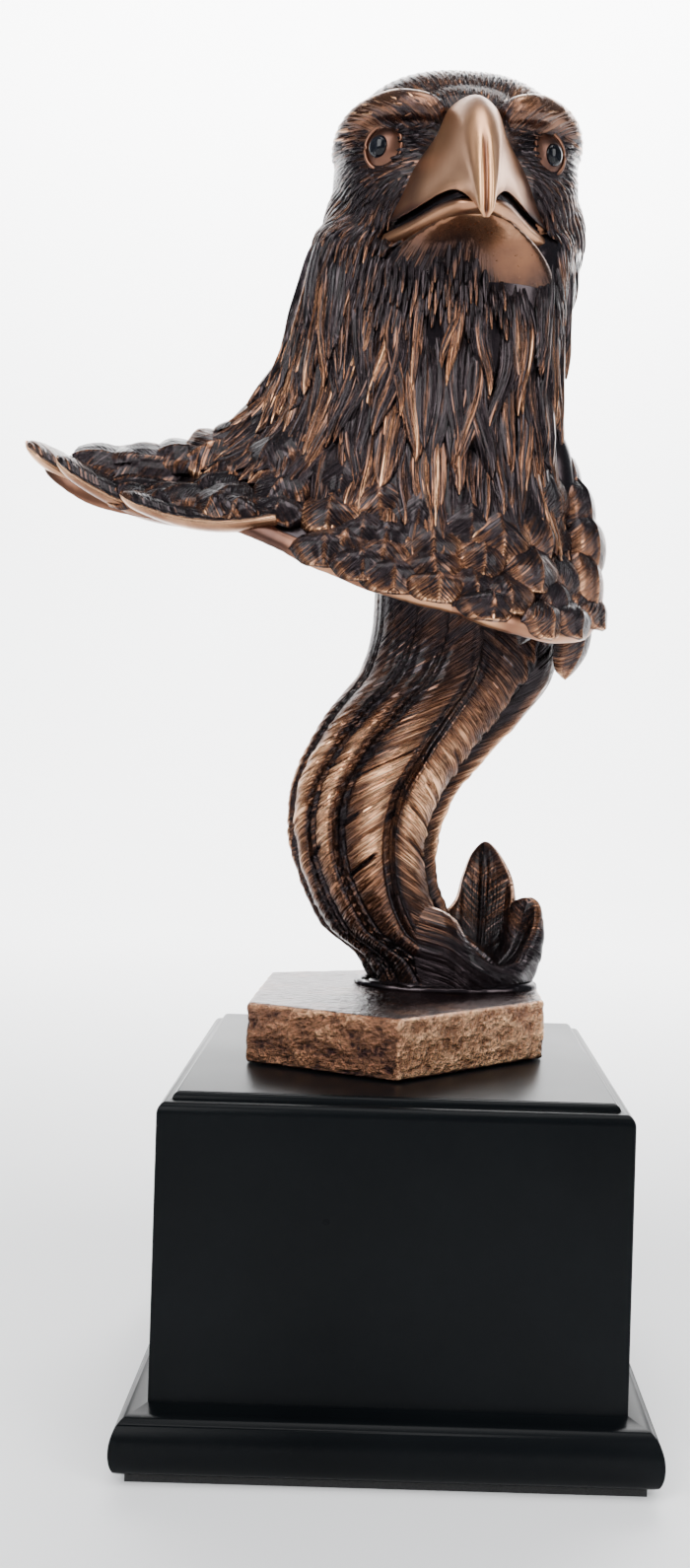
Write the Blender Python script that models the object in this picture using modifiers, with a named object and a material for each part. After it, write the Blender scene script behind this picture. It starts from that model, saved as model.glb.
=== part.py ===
"""Eagle head bust on a trophy base: a bronze-finished casting on a black moulded base.

Metres, +Z up. The eagle faces -Y. Z = 0 is the underside of the pad that the base stands on.
"""
import math

import bmesh
import bpy
from mathutils import Matrix, Vector

# Trophy base, from the underside up
CLEARANCE = 0.0003
PAD_WIDTH = 0.1200
PAD_THICKNESS = 0.0020
FOOT_WIDTH = 0.1270
FOOT_HEIGHT = 0.0143
FOOT_ROUND = 0.0055
FOOT_SHOULDER = 0.0032
BODY_WIDTH = 0.1116
BODY_HEIGHT = 0.0669
CAP_HEIGHT = 0.0045
CAP_LEDGE = 0.0018
TOP_WIDTH = 0.1028
MITRE_ROUND = 0.0009
ARC_STEPS = 6

# Six-sided plate that the feathers grow out of, a part of the casting
PLATE_WIDTH = 0.0784
PLATE_DEPTH = 0.0860
PLATE_THICKNESS = 0.0154
PLATE_CENTRE_Y = 0.0050
PLATE_EDGE = 0.0008
PLATE_CORNERS = ((0.003, -0.500), (0.500, -0.095), (0.497, 0.410),
                 (-0.006, 0.500), (-0.478, 0.335), (-0.500, -0.280))

# The eagle: its grid has GRID_ROWS units from the plate's top to the crown, 1 mm as shown
FIGURE_HEIGHT = 0.2485
GRID_ROWS = 248.5
VOXEL = 1.1
FIGURE_TRIANGLES = 9000

# Head, in its own frame: origin between the ears, beak toward -y. The beak and the jaw are lofts:
# each station runs from the middle line over the shoulder and flank to the mouth's edge
HEAD_CENTRE = (9.5, 4.0, 218.5)
HEAD_YAW = math.radians(5.1)
HEAD_ROLL = math.radians(-1.6)
# Skull, forehead and nape, then the cheeks and the hollows of the eyes, which are mirrored:
# centre, radii and how square each is
SKULL_FORMS = (((0.6, 8, 0), (33.6, 34.5, 30.0), 2.5), ((0, -5, 5.5), (22, 25, 16.5), 2.2),
               ((0, 8, -22), (35, 29, 24), 2.0))
CHEEK_FORMS = (((19.5, 8, -11), (17.5, 21.5, 19), 2.0), ((15, -9, -5), (9.5, 13, 10), 2.0))
BEAK_STATIONS = (
    ((0, -22, 12.5), (7, -21, 8.5), (10, -19, 3), (15.5, -13, -4), (23.5, -4, -15)),
    ((0, -29, 12.2), (6.2, -28.5, 9.0), (9.3, -27.2, 2.5), (15.2, -21.8, -4.6), (25.3, -10, -16.3)),
    ((0, -35, 10.5), (5.6, -34, 7.4), (8.4, -32.5, 0.6), (13.0, -27.5, -6.4), (20.6, -18, -16.6)),
    ((0, -41, 7.2), (4.9, -40, 4.2), (7.3, -38, -2), (10.6, -33.5, -8.4), (15.7, -25.7, -16.1)),
    ((0, -46.5, 2.0), (4.3, -45.5, -0.5), (6.2, -43, -5.5), (8.5, -39.5, -10.5), (12.4, -31.7, -15.6)),
    ((0, -50.5, -4.5), (3.7, -49.5, -6.2), (5.1, -47, -9.5), (6.7, -44, -12.5), (9.3, -37.2, -15.3)),
    ((0, -53.3, -12), (3.0, -52.3, -12.8), (4.0, -50, -14.2), (4.9, -47.5, -15.3), (6.5, -42.2, -15.9)),
    ((0, -54.5, -19), (2.4, -53.6, -19), (3.0, -51.5, -18.8), (3.4, -49.5, -18.6), (3.9, -46.3, -18.4)),
    ((0, -54.4, -24), (1.6, -53.8, -24), (1.9, -52.6, -23.8), (1.8, -51.6, -23.4), (1.7, -50.3, -22.8)),
    ((0, -53.4, -26.2), (0.6, -53.2, -26.1), (0.7, -52.9, -26), (0.7, -52.6, -25.8), (0.5, -52.3, -25.6)))
JAW_STATIONS = (
    ((0, 3, -20.5), (12, 0, -21), (20, -2, -22.5), (25.5, -3, -21.3), (24.3, -3.5, -18.5)),
    ((0, -4, -20.5), (12, -6, -21), (20.5, -8.5, -22.7), (25.8, -9.5, -21.1), (24.8, -10, -18.6)),
    ((0, -13, -20.5), (10, -14.5, -21), (17, -16, -22.2), (20.7, -17.6, -20.6), (19.9, -18, -18.4)),
    ((0, -22, -20.5), (8, -23, -21), (13, -24.5, -21.8), (15.5, -25.8, -20.0), (14.9, -26, -18.0)),
    ((0, -30, -20.5), (6, -30.5, -20.9), (10, -31.2, -21.2), (11.9, -32, -19.3), (11.4, -32, -17.5)),
    ((0, -36.5, -20.7), (4.5, -36.8, -20.9), (7.2, -37.2, -20.9), (8.8, -37.7, -19.0), (8.4, -37.5, -17.4)),
    ((0, -41.3, -20.9), (2.4, -41.4, -20.9), (4.1, -41.6, -20.5), (5.4, -42, -19.1), (5.2, -41.5, -17.7)),
    ((0, -43.4, -20.4), (0.6, -43.4, -20.3), (1.0, -43.5, -20), (1.5, -43.8, -19.3), (1.4, -43.5, -18.3)))
# Throat under the jaw: distance along -y, underside, half width
THROAT = ((2, -44, 25), (18, -39, 23), (22, -34, 20.5), (25.5, -29, 17.5), (30.5, -25.2, 13.5),
          (36, -22.6, 9), (40.5, -21.0, 4.5))
THROAT_TOP = -19.5
BROW = ((7.5, -30.0, 7.3, 2.2), (11.5, -28.5, 9.9, 3.3), (18.5, -22.8, 12.0, 4.2), (25.5, -14.5, 12.2, 4.2),
        (29.5, -5.5, 10.8, 3.9), (31.0, 5.0, 8.5, 3.2))
EYE_CENTRE = (18.5, -14.2, 3.0)
EYE_RADIUS = 7.8

# Neck ring, where the feathered bust starts under the head: lower and set back in front
NECK_CENTRE = (6.4, 5.0, 204.0)
NECK_HALF_WIDTH = 35.0
NECK_HALF_DEPTH = 30.0
NECK_FRONT_DROP = 16.0
NECK_FRONT_SET_BACK = 6.0
WAIST = 9.8
FULL_SPREAD = 70.0

# Rows of feathers on the bust: place from the ring to the rim, count, length, width
NECK_ROWS = ((0.03, 18, 32, 10.0), (0.18, 19, 34, 10.5), (0.34, 20, 36, 11.5), (0.50, 22, 32, 11.5))
CAPE_ROWS = ((0.60, 24, 21, 14.0), (0.73, 24, 21, 15.0), (0.87, 24, 20, 16.0))
LOCK_THICKNESS = 2.3
LOCK_LIFT = 1.1
LOCK_POINT = 0.7
CAPE_THICKNESS = 2.4
CAPE_LIFT = 3.6
CAPE_POINT = 0.28
# The cape's last row is cut short along the plume, which lies at x below this
PLUME_START_X = -70.0
SHORT_SHARE = 0.55

# Plume feathers: tip and root
PLUME_FEATHERS = (((-103, -4, 144.5), (-56, 2, 135)), ((-92, -13, 137.5), (-46, -12, 134)),
                  ((-76, -22, 131.5), (-36, -24, 131)), ((-84, 10, 137), (-46, 14, 135)))
PLUME_UP = (0.1, -0.5, 0.86)
PLUME_WIDTH = 17.0
PLUME_THICKNESS = 3.4
PLUME_SAG = 6.5
PLUME_POINT = 0.4

# Feathers down the far shoulder: root, length, width
SHOULDER_FEATHERS = ((37.5, 0, 146, 18, 13), (43, 0, 138, 20, 13), (46.5, -3, 127, 20, 14),
                     (45.5, -6, 116, 26, 14), (40, -16, 110, 22, 13), (33, -21, 104, 26, 12),
                     (24, -22, 100, 24, 12), (43.0, 4, 104, 22, 12))
SHOULDER_THICKNESS = 3.0
SHOULDER_BULGE = 2.6
SHOULDER_POINT = 0.35

# Rim of the feather cape: angle around the neck from the front toward the plume, then x, y, z
RIM = ((0, 10, -35, 104), (25, -8, -36, 108), (45, -26, -32, 115), (62, -46, -25, 124),
       (72, -66, -18, 127), (80, -86, -10, 132), (88, -98, -3, 141), (98, -84, 12, 140),
       (110, -64, 24, 138), (125, -44, 34, 135), (148, -22, 42, 131), (178, 4, 44, 122),
       (205, 28, 38, 113), (232, 44, 24, 107), (262, 50, 4, 104), (300, 43, -14, 99),
       (333, 28, -30, 99))
HOLLOW_TOP = (12.0, 10.0, 126.0)
# Rings from the rim in to the hollow's top: share of the way in, then the lift
HOLLOW_RINGS = ((0.03, -2.2), (0.12, -2.4), (0.35, 1.0), (0.7, 4.0))

# Column of tail feathers: z, centre x, centre y, half width, half depth
COLUMN = ((132, 12, 10, 19, 19), (112, 13.8, 11, 23.5, 18), (98, 15.5, 12, 26, 17), (86, 13, 12, 26.4, 16),
          (76, 5.6, 12, 26, 15.5), (66, -1.8, 12, 24.2, 15), (54, -8.8, 12, 21.6, 14.5), (41, -11.6, 13, 19.4, 14),
          (28, -9.2, 15, 18, 14), (16, -3, 18, 18, 13.5), (8, 7.2, 20, 18.5, 13.5), (-3, 12, 21, 18.5, 13.5))
# Its feathers: where each starts, in degrees from the front toward -x, and its top and foot
TAIL_ANGLES = (76, 46, 17, -14, -45, -76, -108, -142, 180, 142, 108)
TAIL_TOP = 98
TAIL_TOP_IN_HOLLOW = 86
TAIL_FOOT = 6
TAIL_WIDTH = 14.0
TAIL_THICKNESS = 3.0
TAIL_TWIST = 6.0
TAIL_POINT = 0.2

# Rim of the scoop that the feather ends form beside the column, from its front lip round to the back
SCOOP_RIM = ((4, 6, 24), (13, 3, 20.7), (17, 2.5, 16), (20.3, 3, 11.4), (24.6, 5, 8.2), (28.8, 8, 6.8),
             (33, 11, 7.8), (36.2, 14, 12.2), (39.0, 17, 17.7), (39.4, 20, 22.7), (37.2, 22, 24.6),
             (33.8, 24.5, 23.4), (32.4, 28, 21.5), (33, 31, 24.5), (31.9, 34, 30), (28, 36, 36.3),
             (24.2, 37, 38.8), (20.2, 36, 35.4), (17.4, 34, 29), (15, 31, 22), (8, 28, 16))
SCOOP_CENTRE = (21, 18)
SCOOP_THICKNESS = 2.8
SCOOP_FLOOR = 4.0
# The low mound that the scoop and the column grow out of, on the plate
MOUND = ((15, 19, 0), (24, 14.5, 5.5))

# Half widths and heights of a feather's section, in shares of its own
BLADE_SECTION = ((-1.0, -0.35), (-1.0, 0.3), (-0.5, 0.62), (0.0, 1.0), (0.5, 0.62), (1.0, 0.3), (1.0, -0.35),
                 (0.0, -0.6))

# Finishes: colour, roughness, metallic
BRONZE = ((0.36, 0.17, 0.08), 0.34, 0.9)
BLACK_SATIN = ((0.012, 0.012, 0.014), 0.42, 0.0)
BLACK_FELT = ((0.02, 0.02, 0.02), 0.9, 0.0)


def lerp(a, b, t):
    return a + (b - a) * t


def smooth_table(table, x):
    """Value of a sorted table (x, a, b, ...) at x, by cubic interpolation."""
    keys = [row[0] for row in table]
    rising = keys[-1] > keys[0]
    order = table if rising else table[::-1]
    keys = [row[0] for row in order]
    x = min(max(x, keys[0]), keys[-1])
    i = max(j for j in range(len(keys) - 1) if keys[j] <= x)
    t = (x - keys[i]) / (keys[i + 1] - keys[i])
    picks = [order[min(max(i + k, 0), len(order) - 1)][1:] for k in (-1, 0, 1, 2)]
    return [cubic(*values, t) for values in zip(*picks)]


def cubic(a, b, c, d, t):
    """Catmull-Rom curve between b and c."""
    return b + 0.5 * t * (c - a + t * (2 * a - 5 * b + 4 * c - d + t * (3 * (b - c) + d - a)))


def rim_at(u):
    """Angle and point of the rim at u, which runs from 0 to 1 once around."""
    count = len(RIM)
    i = int(math.floor(u * count)) % count
    t = u * count - math.floor(u * count)
    picks = []
    for k in (-1, 0, 1, 2):
        turns, index = divmod(i + k, count)
        angle, x, y, z = RIM[index]
        picks.append((angle + 360.0 * turns, x, y, z))
    angle, x, y, z = (cubic(*values, t) for values in zip(*picks))
    return math.radians(angle), Vector((x, y, z))


def neck_at(angle):
    x, y, z = NECK_CENTRE
    front = max(math.cos(angle), 0.0) ** 2
    depth = NECK_HALF_DEPTH - NECK_FRONT_SET_BACK * front
    drop = NECK_FRONT_DROP * front
    return Vector((x - NECK_HALF_WIDTH * math.sin(angle), y - depth * math.cos(angle), z - drop))


def bust_point(u, s):
    """Point of the bust's skin: s runs from 0 at the neck ring to 1 at the rim."""
    angle, rim = rim_at(u)
    top = neck_at(angle)
    drop = top.z - rim.z
    out = Vector((rim.x - top.x, rim.y - top.y, 0.0))
    spread = min(out.length / FULL_SPREAD, 1.0)
    waist = Vector((math.sin(angle), 0.0, 0.0)) * WAIST * (1.0 - spread) * max(-math.sin(angle), 0.0)
    first = top + out * lerp(0.0, 0.10, spread) + waist - Vector((0.0, 0.0, drop * lerp(0.45, 0.92, spread)))
    second = top + out * lerp(0.45, 0.36, spread) + waist - Vector((0.0, 0.0, drop * lerp(0.80, 1.03, spread)))
    a, b, c, d = (1 - s) ** 3, 3 * s * (1 - s) ** 2, 3 * s * s * (1 - s), s ** 3
    return top * a + first * b + second * c + rim * d


def bust_frame(u, s):
    """Point, outward normal and downward direction on the bust's skin."""
    point = bust_point(u, s)
    down = bust_point(u, min(s + 0.02, 1.0)) - bust_point(u, max(s - 0.02, 0.0))
    around = bust_point(u + 0.004, s) - bust_point(u - 0.004, s)
    normal = around.cross(down).normalized()
    return point, -normal if normal.dot(point - Vector((4.0, 8.0, point.z))) < 0 else normal, down.normalized()


def column_point(angle, z):
    """Point of the column's skin at a height, the angle from the front toward -x."""
    x, y, half_width, half_depth = smooth_table(COLUMN, z)
    return Vector((x - half_width * math.sin(angle), y - half_depth * math.cos(angle), z))


def add_faces(mesh, rings):
    """A loft through rings of equal count, capped at both ends."""
    made = [[mesh.verts.new(p) for p in ring] for ring in rings]
    count = len(made[0])
    for lower, upper in zip(made, made[1:]):
        for k in range(count):
            j = (k + 1) % count
            mesh.faces.new((lower[k], lower[j], upper[j], upper[k]))
    mesh.faces.new(made[0][::-1])
    mesh.faces.new(made[-1])


def add_ellipsoid(mesh, centre, radii, matrix=Matrix(), power=2.0):
    """An ellipsoid; a power above 2 squares it off."""
    place = matrix @ Matrix.Translation(centre) @ Matrix.Diagonal((*radii, 1.0))
    made = bmesh.ops.create_uvsphere(mesh, u_segments=28, v_segments=18, radius=1.0)
    for vertex in made["verts"]:
        reach = sum(abs(value) ** power for value in vertex.co) ** (1.0 / power)
        vertex.co = place @ (vertex.co / reach)


def add_rod(mesh, points, radii, matrix=Matrix(), sides=10):
    """A round rod of changing radius along a line of points."""
    rings = []
    for i, point in enumerate(points):
        ahead = Vector(points[min(i + 1, len(points) - 1)]) - Vector(points[max(i - 1, 0)])
        turn = ahead.to_track_quat("Z", "Y")
        ring = []
        for k in range(sides):
            angle = math.tau * k / sides
            offset = Vector((math.cos(angle), math.sin(angle), 0.0)) * radii[i]
            ring.append(matrix @ (Vector(point) + turn @ offset))
        rings.append(ring)
    add_faces(mesh, rings)


def add_blade(mesh, spine, normals, width, thickness, blunt=0.5, steps=7):
    """A feather: a thin lens swept down its spine, with a raised shaft and a rounded or pointed tip."""
    rings = []
    for i in range(steps + 1):
        t = i / steps
        point, normal, ahead = sample_spine(spine, normals, t)
        side = normal.cross(ahead).normalized()
        open_out = min(1.0, 0.45 + 1.6 * t)
        close_in = max(1.0 - t, 0.0) ** blunt
        half = width * 0.5 * min(open_out, 1.25 * close_in) + 0.12
        thick = thickness * (0.75 + 0.25 * math.sin(math.pi * t)) * min(1.0, 0.25 + 4.0 * (1.0 - t))
        ring = []
        for across, height in BLADE_SECTION:
            ring.append(point + side * half * across + normal * thick * height)
        rings.append(ring)
    add_faces(mesh, rings)


def sample_spine(spine, normals, t):
    position = t * (len(spine) - 1)
    i = min(int(position), len(spine) - 2)
    f = position - i
    point = spine[i].lerp(spine[i + 1], f)
    normal = normals[i].lerp(normals[i + 1], f).normalized()
    return point, normal, (spine[i + 1] - spine[i]).normalized()


def station_grid(stations, matrix, lengthwise=36, arch=24):
    """Rings of a loft along the beak, each mirrored over the middle line."""
    spans = len(stations) - 1
    rings = []
    for i in range(lengthwise + 1):
        place = spans * i / lengthwise
        k = min(int(place), spans - 1)
        near = [stations[min(max(k + j, 0), spans)] for j in (-1, 0, 1, 2)]
        half = [tuple(cubic(*values, place - k) for values in zip(*points)) for points in zip(*near)]
        path = [(-x, y, z) for x, y, z in half[:0:-1]] + half
        ring = []
        for j in range(arch + 1):
            spot = (len(path) - 1) * j / arch
            m = min(int(spot), len(path) - 2)
            around = [path[min(max(m + d, 0), len(path) - 1)] for d in (-1, 0, 1, 2)]
            ring.append(matrix @ Vector([cubic(*values, spot - m) for values in zip(*around)]))
        rings.append(ring)
    return rings


def add_throat(mesh, matrix):
    """The throat, from the tip of the jaw down and back into the neck."""
    rings = []
    rows = 20
    sides = 24
    for k in range(rows + 1):
        along = lerp(THROAT[0][0], THROAT[-1][0], k / rows)
        low, half = smooth_table(THROAT, along)
        middle, tall = (low + THROAT_TOP) / 2, (THROAT_TOP - low) / 2
        ring = []
        for j in range(sides):
            angle = math.tau * j / sides
            ring.append(matrix @ Vector((half * math.cos(angle), -along, middle + tall * math.sin(angle))))
        rings.append(ring)
    add_faces(mesh, rings)


def add_head(mesh):
    """Skull, cheeks, throat, brows, eyes, hooked beak and lower jaw."""
    turn = Matrix.Rotation(HEAD_YAW, 4, "Z") @ Matrix.Rotation(HEAD_ROLL, 4, "Y")
    matrix = Matrix.Translation(HEAD_CENTRE) @ turn
    for centre, radii, power in SKULL_FORMS:
        add_ellipsoid(mesh, centre, radii, matrix, power)
    add_throat(mesh, matrix)
    add_faces(mesh, station_grid(BEAK_STATIONS, matrix))
    add_faces(mesh, station_grid(JAW_STATIONS, matrix))
    for side in (-1, 1):
        for (x, y, z), radii, power in CHEEK_FORMS:
            add_ellipsoid(mesh, (side * x, y, z), radii, matrix, power)
        brow = [(side * x, y, z) for x, y, z, radius in BROW]
        add_rod(mesh, brow, [radius for x, y, z, radius in BROW], matrix)
        x, y, z = EYE_CENTRE
        add_ellipsoid(mesh, (side * x, y, z), (EYE_RADIUS,) * 3, matrix)


def add_bust(mesh):
    """The feathered neck and cape, hollowed a little underneath."""
    around = 68
    levels = (0.0, 0.12, 0.25, 0.38, 0.5, 0.62, 0.74, 0.86, 0.95, 1.0)
    crown = Vector((HEAD_CENTRE[0] - 2, HEAD_CENTRE[1] + 2, HEAD_CENTRE[2]))
    rings = [[bust_point(k / around, 0.0).lerp(crown, 0.35) + Vector((0, 0, 8)) for k in range(around)]]
    for s in levels:
        rings.append([bust_point(k / around, s) for k in range(around)])
    hollow = Vector(HOLLOW_TOP)
    for inward, lift in HOLLOW_RINGS:
        ring = []
        for k in range(around):
            rim = bust_point(k / around, 1.0)
            level = Vector((hollow.x, hollow.y, lerp(rim.z, hollow.z, inward)))
            ring.append(rim.lerp(level, inward) + Vector((0, 0, lift)))
        rings.append(ring)
    add_faces(mesh, rings)


def surface_blade(mesh, u, s, length, width, thickness, lift, blunt):
    """A feather lying on the bust's skin, its root at (u, s)."""
    spine = []
    normals = []
    steps = 5
    for i in range(steps + 1):
        t = i / steps
        place = s + length * t / bust_length(u)
        here, up, fall = bust_frame(u, min(place, 1.0))
        over = max(place - 1.0, 0.0) * bust_length(u)
        spine.append(here + up * (0.2 + lift * t) + fall * over)
        normals.append(up)
    add_blade(mesh, spine, normals, width, thickness, blunt)


def bust_length(u):
    """Length of the skin from the neck ring to the rim."""
    stops = [bust_point(u, k / 8) for k in range(9)]
    return sum((b - a).length for a, b in zip(stops, stops[1:]))


def jitter(a, b, c=0.0):
    """A repeatable number from -1 to 1."""
    return math.sin(a * 12.9898 + b * 78.233 + c * 37.719) * 43758.5453 % 2.0 - 1.0


def add_neck_locks(mesh):
    """Rows of long pointed locks around the neck."""
    for row, (s, count, length, width) in enumerate(NECK_ROWS):
        for k in range(count):
            u = (k + 0.5 * (row % 2) + 0.25 * jitter(k, row)) / count
            start = s + 0.03 * jitter(k, row, 2.0)
            grow = 1.0 + 0.2 * jitter(row, k, 1.0)
            surface_blade(mesh, u, start, length * grow, width, LOCK_THICKNESS, LOCK_LIFT, LOCK_POINT)


def add_cape_feathers(mesh):
    """Rows of rounded feathers over the cape, the last one reaching past the rim."""
    for row, (s, count, length, width) in enumerate(CAPE_ROWS):
        for k in range(count):
            u = (k + 0.5 * (row % 2)) / count
            share = 1.0 if rim_at(u)[1].x > PLUME_START_X else SHORT_SHARE
            surface_blade(mesh, u, s, length * share, width, CAPE_THICKNESS, CAPE_LIFT, CAPE_POINT)


def add_plume(mesh):
    """Long flight feathers that stream out to the side."""
    steps = 5
    for tip, root in PLUME_FEATHERS:
        tip, root = Vector(tip), Vector(root)
        spine = [root.lerp(tip, t / steps) - Vector((0, 0, PLUME_SAG * math.sin(math.pi * t / steps)))
                 for t in range(steps + 1)]
        add_blade(mesh, spine, [Vector(PLUME_UP)] * len(spine), PLUME_WIDTH, PLUME_THICKNESS, PLUME_POINT)


def add_shoulder(mesh):
    """Rounded feathers stacked down the far shoulder, where the cape turns into the column."""
    steps = 5
    for k, (x, y, z, length, width) in enumerate(SHOULDER_FEATHERS):
        out = Vector((0.75, -0.62 + 0.1 * (k % 2), 0.2)).normalized()
        fall = Vector((0.24 - 0.06 * k, 0.05, -1.0)).normalized()
        spine = []
        for i in range(steps + 1):
            t = i / steps
            spine.append(Vector((x, y, z)) + fall * length * t + out * SHOULDER_BULGE * math.sin(math.pi * t))
        add_blade(mesh, spine, [out] * len(spine), width, SHOULDER_THICKNESS, SHOULDER_POINT)


def add_column(mesh):
    """The S of long tail feathers, each a ridge that runs down the column."""
    around = 36
    rows = 26
    heights = [row[0] for row in COLUMN]
    levels = [lerp(heights[0], heights[-1], k / rows) for k in range(rows + 1)]
    add_faces(mesh, [[column_point(math.tau * k / around, z) for k in range(around)] for z in levels])
    steps = 11
    for degrees in TAIL_ANGLES:
        top = TAIL_TOP_IN_HOLLOW if -20 < degrees < 80 else TAIL_TOP
        spine = []
        normals = []
        for i in range(steps + 1):
            z = lerp(top, TAIL_FOOT, i / steps)
            angle = math.radians(degrees + TAIL_TWIST * math.sin(math.pi * i / steps))
            point = column_point(angle, z)
            out = point - column_point(angle + math.pi, z)
            out.z = 0.0
            spine.append(point + out.normalized() * 0.3)
            normals.append(out.normalized())
        add_blade(mesh, spine, normals, TAIL_WIDTH, TAIL_THICKNESS, TAIL_POINT, 14)


def add_scoop(mesh):
    """The feather ends that turn up beside the column, like a cupped hand."""
    steps = 4
    centre = Vector((*SCOOP_CENTRE, 0.0))
    rings = []
    count = len(SCOOP_RIM) - 1
    for i in range(count * steps + 1):
        k = min(i // steps, count - 1)
        near = [SCOOP_RIM[min(max(k + d, 0), count)] for d in (-1, 0, 1, 2)]
        rim = Vector([cubic(*values, i / steps - k) for values in zip(*near)])
        out = Vector((rim.x, rim.y, 0.0)) - centre
        level = Vector((0.0, 0.0, 1.0))
        inner = rim - out.normalized() * SCOOP_THICKNESS
        rings.append((centre + out * 0.86 - level * 2.0,
                      centre + out + out.normalized() * 0.8 + level * rim.z * 0.45,
                      rim, inner - level * 0.3,
                      centre + out * 0.6 + level * lerp(SCOOP_FLOOR, rim.z, 0.3),
                      centre + out * 0.2 + level * SCOOP_FLOOR,
                      centre + out * 0.2 - level * 2.0))
    add_faces(mesh, rings)
    add_ellipsoid(mesh, *MOUND)


def largest_shell(mesh):
    """Keeps the biggest connected shell, so that nothing sealed inside stays."""
    mesh.verts.ensure_lookup_table()
    seen = set()
    shells = []
    for start in mesh.verts:
        if start.index in seen:
            continue
        shell = []
        stack = [start]
        seen.add(start.index)
        while stack:
            vertex = stack.pop()
            shell.append(vertex)
            for edge in vertex.link_edges:
                other = edge.other_vert(vertex)
                if other.index not in seen:
                    seen.add(other.index)
                    stack.append(other)
        shells.append(shell)
    shells.sort(key=len)
    bmesh.ops.delete(mesh, geom=[v for shell in shells[:-1] for v in shell], context="VERTS")


def new_object(name, data, collection):
    thing = bpy.data.objects.new(name, data)
    collection.objects.link(thing)
    return thing


def baked(thing, name, collection):
    """A new object that holds what the modifiers of another make, which is removed."""
    depsgraph = bpy.context.evaluated_depsgraph_get()
    data = bpy.data.meshes.new_from_object(thing.evaluated_get(depsgraph))
    made = new_object(name, data, collection)
    made.matrix_world = thing.matrix_world
    bpy.data.objects.remove(thing)
    return made


def finish(name, colour, roughness, metallic):
    material = bpy.data.materials.new(name)
    material.use_nodes = True
    shader = material.node_tree.nodes["Principled BSDF"]
    shader.inputs["Base Color"].default_value = (*colour, 1.0)
    shader.inputs["Roughness"].default_value = roughness
    shader.inputs["Metallic"].default_value = metallic
    material.diffuse_color = (*colour, 1.0)
    return material


def eagle(collection):
    """All of the figure's forms, fused into one skin and thinned out."""
    mesh = bmesh.new()
    add_head(mesh)
    add_bust(mesh)
    add_neck_locks(mesh)
    add_cape_feathers(mesh)
    add_plume(mesh)
    add_shoulder(mesh)
    add_column(mesh)
    add_scoop(mesh)
    bmesh.ops.recalc_face_normals(mesh, faces=mesh.faces)
    data = bpy.data.meshes.new("eagle_forms")
    mesh.to_mesh(data)
    mesh.free()
    forms = new_object("eagle_forms", data, collection)
    remesh = forms.modifiers.new("fuse", "REMESH")
    remesh.mode = "VOXEL"
    remesh.voxel_size = VOXEL
    fused = baked(forms, "eagle_fused", collection)

    mesh = bmesh.new()
    mesh.from_mesh(fused.data)
    largest_shell(mesh)
    bmesh.ops.triangulate(mesh, faces=mesh.faces)
    triangles = len(mesh.faces)
    mesh.to_mesh(fused.data)
    mesh.free()
    thin = fused.modifiers.new("thin", "DECIMATE")
    thin.ratio = min(1.0, FIGURE_TRIANGLES / triangles)
    thinned = baked(fused, "eagle_thinned", collection)
    unit = FIGURE_HEIGHT / GRID_ROWS
    thinned.data.transform(Matrix.Translation((0, 0, PLATE_TOP)) @ Matrix.Scale(unit, 4))
    return thinned


def plate(collection):
    """The six-sided plate, a flat outline with thickness and a slightly broken edge."""
    outline = bpy.data.curves.new("plate_outline", "CURVE")
    outline.dimensions = "2D"
    outline.fill_mode = "BOTH"
    outline.extrude = PLATE_THICKNESS / 2
    spline = outline.splines.new("POLY")
    spline.points.add(len(PLATE_CORNERS) - 1)
    for point, (x, y) in zip(spline.points, PLATE_CORNERS):
        point.co = (x * PLATE_WIDTH, y * PLATE_DEPTH, 0.0, 1.0)
    spline.use_cyclic_u = True
    flat = new_object("plate_outline", outline, collection)
    flat.location = (0.0, PLATE_CENTRE_Y, PLATE_TOP - PLATE_THICKNESS / 2)
    bpy.context.view_layer.update()
    solid = baked(flat, "plate_solid", collection)
    mesh = bmesh.new()
    mesh.from_mesh(solid.data)
    bmesh.ops.remove_doubles(mesh, verts=mesh.verts, dist=0.000001)
    mesh.to_mesh(solid.data)
    mesh.free()
    edge = solid.modifiers.new("edge", "BEVEL")
    edge.width = PLATE_EDGE
    edge.segments = 1
    return solid


def arc(centre, radius, start, end, steps=ARC_STEPS):
    """Points of an arc in the profile plane, angles in degrees from +r toward +z."""
    points = []
    for k in range(steps + 1):
        angle = math.radians(lerp(start, end, k / steps))
        points.append((centre[0] + radius[0] * math.cos(angle), centre[1] + radius[1] * math.sin(angle)))
    return points


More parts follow.
